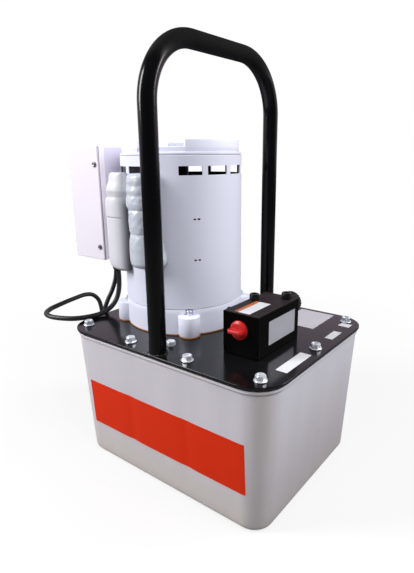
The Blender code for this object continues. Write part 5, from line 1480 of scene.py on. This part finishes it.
def make_control_box():
    edge = sizes().box_edge
    half = (BOX_HIGH - BOX_LOW) / 2
    case = rounded_block(half.x, half.y, edge, -half.z, half.z, edge)
    case = object_of("folded_box", moved(case, to((BOX_LOW + BOX_HIGH) / 2)))
    look = white_paint("box_paint", tuple(colours().box_paint))
    dress(case, look, nodes=["control_box"])
    make_cover(edge)
    across, washer, thick = LID_BOLT
    for side in ("upper", "lower"):
        node = f"cover_screw_{side}"
        middle = middle_of(node)
        shape = bolt_shape(across, 0.0013, washer, thick, 0.002, 0.009)
        place = to((middle.x, LID_LOW.y - JOINT_GAP, middle.z)) @ turn(90, "X")
        screw = object_of(f"hex_{node}", moved(shape, place))
        dress(screw, machined("dull_screw", (0.22, 0.22, 0.23), 300), nodes=[node])


class UNIT_OT_control_box(Maker, bpy.types.Operator):
    """Folded box with its cover and cover screws"""

    bl_idname = "unit.control_box"
    bl_label = "Control box"
    make = staticmethod(make_control_box)


def smooth_route(points, spacing):
    """Evenly spaced points on a smooth curve through a route's own points."""
    points = [Vector(p) for p in points]
    points = [2 * points[0] - points[1]] + points + [2 * points[-1] - points[-2]]
    fine = []
    for before, start, end, after in zip(points, points[1:], points[2:], points[3:]):
        knots = [0.0]
        for a, b in ((before, start), (start, end), (end, after)):
            knots.append(knots[-1] + (b - a).length ** 0.5)
        span = knots[2] - knots[1]
        leave = slope(before, start, end, knots[:3]) * span
        arrive = slope(start, end, after, knots[1:]) * span
        for i in range(16):
            t = i / 16
            fine.append(
                start * (2 * t**3 - 3 * t**2 + 1)
                + leave * (t**3 - 2 * t**2 + t)
                + end * (3 * t**2 - 2 * t**3)
                + arrive * (t**3 - t**2)
            )
    return spaced(fine + [points[-2]], spacing)


def slope(before, middle, after, knots):
    first, second = knots[1] - knots[0], knots[2] - knots[1]
    return (middle - before) / first - (after - before) / (first + second) + (after - middle) / second


def length_of(points):
    return sum((b - a).length for a, b in zip(points, points[1:]))


def spaced(points, spacing):
    total = length_of(points)
    count = max(2, round(total / spacing))
    marks, made, walked = [total * i / count for i in range(1, count)], [points[0]], 0.0
    for a, b in zip(points, points[1:]):
        step = (b - a).length
        while marks and walked + step >= marks[0]:
            made.append(a.lerp(b, (marks.pop(0) - walked) / step))
        walked += step
    return made + [points[-1]]


def coil_line(start, turns, length, diameter):
    """A two-layer coil that spirals in on the floor, climbs, spirals out on top and ends in a tail."""
    pitch = COIL_PITCH * diameter
    spiral = (turns - COIL_CLIMB) / 2
    wound = length - diameter - COIL_TAIL
    inner = (wound / (2 * pi) - spiral**2 * pitch) / turns
    outer = inner + spiral * pitch
    centre = start + Vector((outer, diameter, 0))
    points = [start]
    steps = round(turns * 48)
    for i in range(steps + 1):
        turned_by = turns * i / steps
        into, out = min(turned_by, spiral), max(turned_by - spiral - COIL_CLIMB, 0)
        climb = clipped((turned_by - spiral) / COIL_CLIMB)
        radius = outer - (into - out) * pitch
        angle = pi - 2 * pi * turned_by
        points.append(centre + Vector((*at_turn(angle, radius), pitch * climb)))
    heading = Vector((sin(angle), -cos(angle), 0))
    tail = points[-1]
    points += [tail + heading * COIL_TAIL * i / 6 for i in range(1, 7)]
    return points, heading, centre, outer, inner


def make_lead(lead, route, diameter, turns, make_end):
    free = smooth_route(route, diameter * 0.6)
    given = length_of(smooth_route(route, diameter * 3))
    start = free[-1] + Vector((0, JOINT_GAP, 0))
    coil, heading, centre, outer, inner = coil_line(start, turns, CORD_LENGTH - given, diameter)
    curve = bpy.data.curves.new(f"{lead}_lead", "CURVE")
    curve.dimensions = "3D"
    curve.bevel_depth = diameter / 2
    curve.bevel_resolution = 5
    curve.use_fill_caps = True
    spline = curve.splines.new("POLY")
    line = free + coil[1:]
    spline.points.add(len(line) - 1)
    for point, place in zip(spline.points, line):
        point.co = (*place, 1)
    spline.use_smooth = True
    cord = placed(f"{lead}_lead", curve)
    dress(cord, cord_jacket(), nodes=[f"{lead}_cord", f"{lead}_cord_coil"])
    radius = (inner + outer) / 2
    ties = [
        make_tie(f"{lead}_tie_{number}", centre, radius, degrees, diameter)
        for number, degrees in enumerate((25, 205), start=1)
    ]
    length_of(line)
    make_end(coil[-1], heading) + ties


def make_tie(name, centre, radius, degrees, diameter):
    """A flat strap round the turns of a coil."""
    wide = 3.1 * COIL_PITCH * diameter / 2 + diameter / 2 + 0.001
    high = COIL_PITCH * diameter + diameter + 0.0010
    rings = []
    for out, along in ((0.0, -0.006), (0.0009, -0.006), (0.0009, 0.006), (0.0, 0.006)):
        loop = outline_of(wide + out, high / 2 + out * 0.5, 0.005 + out, 8)
        rings.append([Vector((p.x, along, p.y)) for p in loop])
    strap = skin(rings, closed=True)
    place = to(centre + Vector((0, 0, high / 2 - centre.z))) @ turn(degrees, "Z") @ to((radius, 0, 0))
    made = object_of(name, moved(strap, place), 40)
    return dress(made, sheet_rubber())


def make_grips():
    for lead, diameter in (("power", POWER_CORD), ("pendant", PENDANT_CORD)):
        node = f"{lead}_cord_grip"
        low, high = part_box(node)
        middle = middle_of(node)
        seat = BOX_LOW.z - JOINT_GAP
        foot = seat - GRIP_HEIGHT
        hexes = hexagon_of(GRIP_HEX)
        worn = [p * 0.93 for p in hexes]
        rings = [level(worn, foot), level(hexes, foot + GRIP_CHAMFER)]
        rings += [level(hexes, seat - GRIP_CHAMFER), level(worn, seat)]
        sleeve = ribbed_sleeve(0.0056, diameter / 2 + 0.0013, foot - low.z)
        nose = moved(sleeve, to((0, 0, foot)))
        nut = [level(hexes, seat + GRIP_WALL), level(hexes, high.z)]
        thread = turned(((0.0052, seat), (0.0052, seat + GRIP_WALL)), SMALL)
        whole = moved(merged(skin(rings), nose, thread, skin(nut)), to((middle.x, middle.y, 0)))
        dress(object_of(f"ribbed_{node}", whole, 40), black_moulding(), nodes=[node])


def facing(end, heading):
    return to(end) @ Matrix.Rotation(atan2(heading.y, heading.x), 4, "Z")


def waisted(half_x, half_y, corner, side, waist, wave):
    """Outlines of a moulding that starts at the cord's end and is drawn in at its waist."""

    def outline_at(inset):
        outline = outline_of(half_x - inset, half_y - inset, corner - inset, 10, side)
        off = half_x + JOINT_GAP
        return [Vector((p.x + off, p.y * (1 - waist * cos(p.x * wave) ** 2))) for p in outline]

    return outline_at


def make_plug(end, heading):
    low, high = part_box("power_plug")
    below, above = low.z - end.z, high.z - end.z
    body_outline = waisted(0.020, 0.013, 0.0065, 12, 0.13, 120)
    place = facing(end, heading)
    body = pillow(body_outline, below, above, 0.003)
    ribs = []
    for i in range(5):
        bar = rounded_block(0.0009, 0.0085, 0.0006, above - 0.0006, above + 0.0002, 0.0004)
        ribs.append(moved(bar, to((0.012 + 0.004 * i, 0, 0))))
    sleeve = moved(ribbed_sleeve(0.0068, 0.0046, 0.026), turn(90, "Y"))
    plug = object_of("moulded_plug", moved(merged(body, sleeve, *ribs), place), 40)
    dress(plug, black_moulding(), nodes=["power_plug"])
    blades = []
    for side in (-1, 1):
        blade = rounded_block(0.0085, 0.0008, 0.0004, -0.0032, 0.0032, 0.0004)
        blades.append(moved(blade, to((0.0403 + 0.0075, side * 0.00635, 0))))
    pins = object_of("plug_blades", moved(merged(*blades), place))
    dress(pins, machined("plug_brass", (0.62, 0.52, 0.32), 300))
    return [plug, pins]


def make_pendant(end, heading):
    low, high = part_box("pendant_body")
    below, above = low.z - end.z, high.z - end.z
    body_outline = waisted(0.0475, 0.017, 0.0085, 16, 0.10, 33)
    place = facing(end, heading)
    button = middle_of("pendant_button")
    button_low, button_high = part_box("pendant_button")
    case = object_of("pendant_case", moved(pillow(body_outline, below, above, 0.0045), place), 40)
    well = turned(((0.0091, button_low.z - 0.0036), (0.0091, high.z + 0.004)), ROUND)
    case = carved(case, moved(well, to((button.x, button.y, 0))), angle=40)
    dress(case, black_moulding(), nodes=["pendant_body"])
    ring = eased(((0.0092, -0.0006), (0.0122, -0.0006), (0.0122, 0.0011), (0.0092, 0.0014)), 0.0005)
    guard = turned(ring, ROUND, closed=True)
    sleeve = moved(ribbed_sleeve(0.0062, 0.0043, 0.024), turn(90, "Y"), place)
    trim = merged(moved(guard, to((button.x, button.y, high.z))), sleeve)
    dress(object_of("pendant_trim", trim, 40), black_moulding())
    rise = button_high.z - button_low.z
    cap = ((0.0085, 0.0), (0.0085, rise - 0.0006), (0.0070, rise), (0.0040, rise - 0.0005))
    cap = moved(turned(eased(cap, 0.0009), ROUND), to((button.x, button.y, button_low.z)))
    made = object_of("pendant_press", cap, 40)
    dress(made, red_plastic(), "pendant_button", ["pendant_button"])
    return []


def make_leads():
    make_grips()
    make_lead("power", POWER_ROUTE, POWER_CORD, POWER_TURNS, make_plug)
    make_lead("pendant", PENDANT_ROUTE, PENDANT_CORD, PENDANT_TURNS, make_pendant)


class UNIT_OT_leads(Maker, bpy.types.Operator):
    """Power lead with its plug, and pendant lead with its handset"""

    bl_idname = "unit.leads"
    bl_label = "Leads"
    make = staticmethod(make_leads)


# Valve block


def make_port_plug(port):
    low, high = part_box("port_plug")
    face = BLOCK_LOW.y - JOINT_GAP
    head = ((0.0, 0.0050), (0.0085, 0.0048), (0.0121, 0.0030), (0.0121, 0.0), (0.0095, 0.0))
    shank = [(0.0095, -0.004), (0.0092, -0.0048), (0.0092, -0.0096), (0.0095, -0.0104)]
    cap = turned(eased(head, 0.0008) + shank + [(0.0090, face - high.y)], ROUND)
    reach = face - low.y

    def fin_outline(inset):
        return outline_of(0.011 - inset, (reach - 0.002) / 2 - inset, 0.0045 - inset, 8)

    fin = moved(pillow(fin_outline, -0.0025, 0.0025, 0.0014), to((0, -(reach + 0.002) / 2, 0)))
    whole = moved(merged(moved(cap, turn(90, "X")), fin), to((port.x, face, port.z)))
    dress(object_of("shipping_plug", whole, 40), red_plastic(), "port_plug", ["port_plug"])


def make_knob():
    low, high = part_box("relief_knob")
    middle = middle_of("relief_knob")
    radius = (high.x - low.x) / 2
    face = BLOCK_HIGH.y + JOINT_GAP

    def fluted(inset):
        turns = round_about(192)
        return [at_turn(t, radius - inset - 0.00025 * (1 - cos(24 * t))) for t in turns]

    knob = pillow(fluted, 0, high.y - face, 0.0014)
    stem = turned(((0.005, low.y - face), (0.005, 0.001)), SMALL)
    dish = turned(eased(((0.0115, -0.001), (0.0115, 0.0004), (0.0085, 0.0003)), 0.0005))
    whole = merged(knob, stem, moved(dish, to((0, 0, high.y - face))))
    made = object_of("fluted_knob", moved(whole, turn(-90, "X"), to((middle.x, face, middle.z))), 40)
    dress(made, black_moulding(), "relief_knob", ["relief_knob"])


def make_labels():
    silver = film("silver_film", tuple(colours().label_silver), 0.32, 0.35)
    orange = film("orange_film", tuple(colours().label_orange), 0.35, 0.0)
    for name, spot in TOP_LABELS.items():
        label = object_of(f"top_label_{name}", laid_label(spot, BLOCK_HIGH.z, 0.0004))
        dress(label, orange if name == "strip" else white_film())
    label = flat_label(*SIDE_LABEL_HALF, 0.0010)
    place = to((BLOCK_HIGH.x, SIDE_LABEL_Y, DECK + SIDE_LABEL_RISE)) @ turn(90, "Y")
    dress(object_of("side_label", moved(label, place)), silver)


def make_valve_block():
    edge = sizes().block_edge
    half, middle = (BLOCK_HIGH - BLOCK_LOW) / 2, (BLOCK_HIGH + BLOCK_LOW) / 2
    shape = rounded_block(half.x, half.y, edge, -half.z, half.z, edge)
    block = object_of("coated_block", moved(shape, to(middle)))
    port = middle_of("port_plug")
    bore = turned(((0.0101, -0.004), (0.0101, 0.016)), ROUND)
    mouth = turned(((0.0118, -0.004), (0.0118, 0.0), (0.0101, 0.0012), (0.0101, 0.004)), ROUND)
    place = to((port.x, BLOCK_LOW.y, port.z)) @ turn(-90, "X")
    block = carved(block, moved(bore, place), moved(mouth, place))
    dress(block, block_coat(), nodes=["valve_block"])

    def cap_screw(rise, depth):
        return socket_screw_shape(0.0065, rise, 0.0034, 0.004, depth)

    screws = ["block_screw_1", "block_screw_2"]
    fasteners("cap_screws", screws, BLOCK_HIGH.z + JOINT_GAP, cap_screw, black_screw(), 5)
    side_plug = moved(socket_screw_shape(0.0042, 0.0034, 0.0022, 0.003, 0.002), turn(-90, "Y"))
    side_plug = moved(side_plug, to((BLOCK_LOW.x, BLOCK_LOW.y + 0.0155, BLOCK_HIGH.z - 0.0046)))
    dress(object_of("gallery_plug", side_plug), black_screw())
    make_port_plug(port)
    make_knob()
    make_labels()


class UNIT_OT_valve_block(Maker, bpy.types.Operator):
    """Valve block with cap screws, port plug, relief knob and blank labels"""

    bl_idname = "unit.valve_block"
    bl_label = "Valve block"
    make = staticmethod(make_valve_block)


# Pieces out of sight


def make_inside():
    steel = machined("turned_steel", (0.52, 0.52, 0.53), 420)
    laminated = machined("laminations", (0.40, 0.40, 0.42), 1600)
    looks = {
        "wound_stator": windings(),
        "rotor_core": laminated,
        # Painted shade: the shaft is near-black, for the shade inside the motor seen through the vent
        # windows.
        "motor_shaft": machined("oiled_steel", (0.025, 0.025, 0.027), 420),
        "upper_bearing": steel,
        "lower_bearing": steel,
        "cooling_fan": black_moulding(),
        "capacitor_left": cast_metal(),
        "capacitor_right": cast_metal(),
        "contactor": black_moulding(),
        "box_nipple": zinc_plate(),
        "pump_body": cast_metal(),
        "pump_end_cover": cast_metal(),
        "drive_gear": steel,
        "idler_gear": steel,
        "pressure_pipe": steel,
        "suction_strainer": screen_mesh(),
    }
    for node, look in looks.items():
        paint(NODES[node], look)


class UNIT_OT_inside(Maker, bpy.types.Operator):
    """Finishes for the motor's inside, the pump and the box's contents"""

    bl_idname = "unit.inside"
    bl_label = "Inside"
    make = staticmethod(make_inside)


# Studio


def make_floor(settings):
    bm = bmesh.new()
    bmesh.ops.create_grid(bm, x_segments=2, y_segments=2, size=12)
    floor = object_of("studio_floor", bm)
    f = Finish("studio_floor", specular_ior_level=0.1)
    f.set("Roughness", 0.9)
    camera = f.node("ShaderNodeLightPath")
    f.set("Base Color", f.mix(camera, settings.floor, (0.62, 0.62, 0.62)))
    away = f.node("ShaderNodeVectorMath", {"operation": "LENGTH"}, {0: f.place}, output=1)
    share = camera * (0.74 + away.ease(0.35, 1.0) * 0.26)
    paper = f.node("ShaderNodeEmission", {}, {"Color": (1, 1, 1), "Strength": 1.0})
    lit = Value(f, f.shader.outputs[0])
    shader = f.node("ShaderNodeMixShader", {}, {0: share, 1: lit, 2: paper})
    f.join(shader, f.tree.nodes["Material Output"].inputs["Surface"])
    floor.data.materials.append(f.material)


def make_sky(settings):
    world = bpy.data.worlds.new("studio_sky")
    bpy.context.scene.world = world
    world.use_nodes = True
    sky = Tree(world.node_tree)
    rays = ("Camera", "Glossy", "Transmission")
    camera, glossy, through = (sky.node("ShaderNodeLightPath", output=f"Is {ray} Ray") for ray in rays)
    way = sky.node("ShaderNodeTexCoord", output="Generated")
    x, y, z = (sky.node("ShaderNodeSeparateXYZ", {}, {0: way}, output=i) for i in range(3))
    behind = (y * 0.79 - x * 0.61).ease(-0.35, 0.25)
    wall = 1 - z.ease(0.02, 0.20) * 0.42 - z.ease(0.30, 0.70) * 0.58
    paper = behind * wall * (1 - settings.room) + settings.room
    reflected = glossy.maths("MAXIMUM", glossy, through)
    soft = z.maths("MAXIMUM", z, 0.0) * settings.zenith + settings.sky
    strength = camera.maths("MAXIMUM", camera, reflected * paper + (1 - reflected) * soft)
    sockets = {0: reflected, 6: (1, 1, 1), 7: (1, 0.85, 0.99)}
    tinted = sky.node("ShaderNodeMix", {"data_type": "RGBA"}, sockets, output=2)
    sky.join(tinted, world.node_tree.nodes["Background"].inputs["Color"])
    sky.join(strength, world.node_tree.nodes["Background"].inputs["Strength"])


def lamp(name, place, width, power):
    data = bpy.data.lights.new(name, "AREA")
    data.shape = "RECTANGLE"
    data.size, data.size_y = width
    data.energy = power
    made = placed(name, data)
    made.location = place
    made.rotation_euler = (LAMP_AIM - Vector(place)).to_track_quat("-Z", "Y").to_euler()
    return made


def make_camera(settings):
    data = bpy.data.cameras.new("camera")
    data.lens = settings.lens
    data.shift_x, data.shift_y = CAMERA_SHIFT
    data.clip_start = 0.01
    yaw, pitch, roll = CAMERA_TURN
    back = Vector((sin(yaw) * cos(pitch), -cos(yaw) * cos(pitch), sin(pitch)))
    right = Vector((*at_turn(yaw), 0))
    up = back.cross(right)
    across = right * cos(roll) + up * sin(roll)
    above = up * cos(roll) - right * sin(roll)
    turned_to = Matrix((across, above, back)).transposed().to_4x4()
    camera = placed("camera", data)
    camera.matrix_world = to(CAMERA_PLACE) @ turned_to
    bpy.context.scene.camera = camera


def make_stage():
    settings = bpy.context.scene.unit_studio
    make_floor(settings)
    make_sky(settings)
    lamp("key_lamp", *KEY_LAMP, settings.key_power)
    lamp("fill_lamp", *FILL_LAMP, settings.fill_power)
    lamp("top_lamp", *TOP_LAMP, settings.top_power).visible_glossy = False
    make_camera(settings)
    bpy.context.scene.view_settings.view_transform = "Standard"


class UNIT_OT_stage(Maker, bpy.types.Operator):
    """Pale floor, soft lamps and the camera"""

    bl_idname = "unit.stage"
    bl_label = "Studio"
    make = staticmethod(make_stage)


class UNIT_PT_looks(bpy.types.Panel):
    """The unit's pieces, colours and sizes"""

    bl_idname = "UNIT_PT_looks"
    bl_label = "Power Unit"
    bl_space_type = "VIEW_3D"
    bl_region_type = "UI"
    bl_category = "Power Unit"

    def draw(self, context):
        for group in (context.scene.unit_colours, context.scene.unit_sizes, context.scene.unit_studio):
            column = self.layout.column(align=True)
            for name in group.__annotations__:
                column.prop(group, name)
        for operator in OPERATORS:
            self.layout.operator(operator.bl_idname)


GROUPS = {"unit_colours": UnitColours, "unit_sizes": UnitSizes, "unit_studio": StudioSettings}
OPERATORS = (
    UNIT_OT_stage,
    UNIT_OT_leads,
    UNIT_OT_tank,
    UNIT_OT_deck,
    UNIT_OT_handle,
    UNIT_OT_motor,
    UNIT_OT_capacitors,
    UNIT_OT_control_box,
    UNIT_OT_valve_block,
    UNIT_OT_inside,
)


def register():
    for kind in (*GROUPS.values(), *OPERATORS, UNIT_PT_looks):
        bpy.utils.register_class(kind)
    for name, group in GROUPS.items():
        setattr(bpy.types.Scene, name, bpy.props.PointerProperty(type=group))


def unregister():
    for name in GROUPS:
        delattr(bpy.types.Scene, name)
    for kind in reversed((*GROUPS.values(), *OPERATORS, UNIT_PT_looks)):
        bpy.utils.unregister_class(kind)


def main():
    for name in ("Cube", "Light", "Camera"):
        if name in bpy.data.objects:
            bpy.data.objects.remove(bpy.data.objects[name], do_unlink=True)
    register()
    for operator in OPERATORS:
        getattr(bpy.ops.unit, operator.bl_idname.split(".")[1])()


if __name__ == "__main__":
    main()
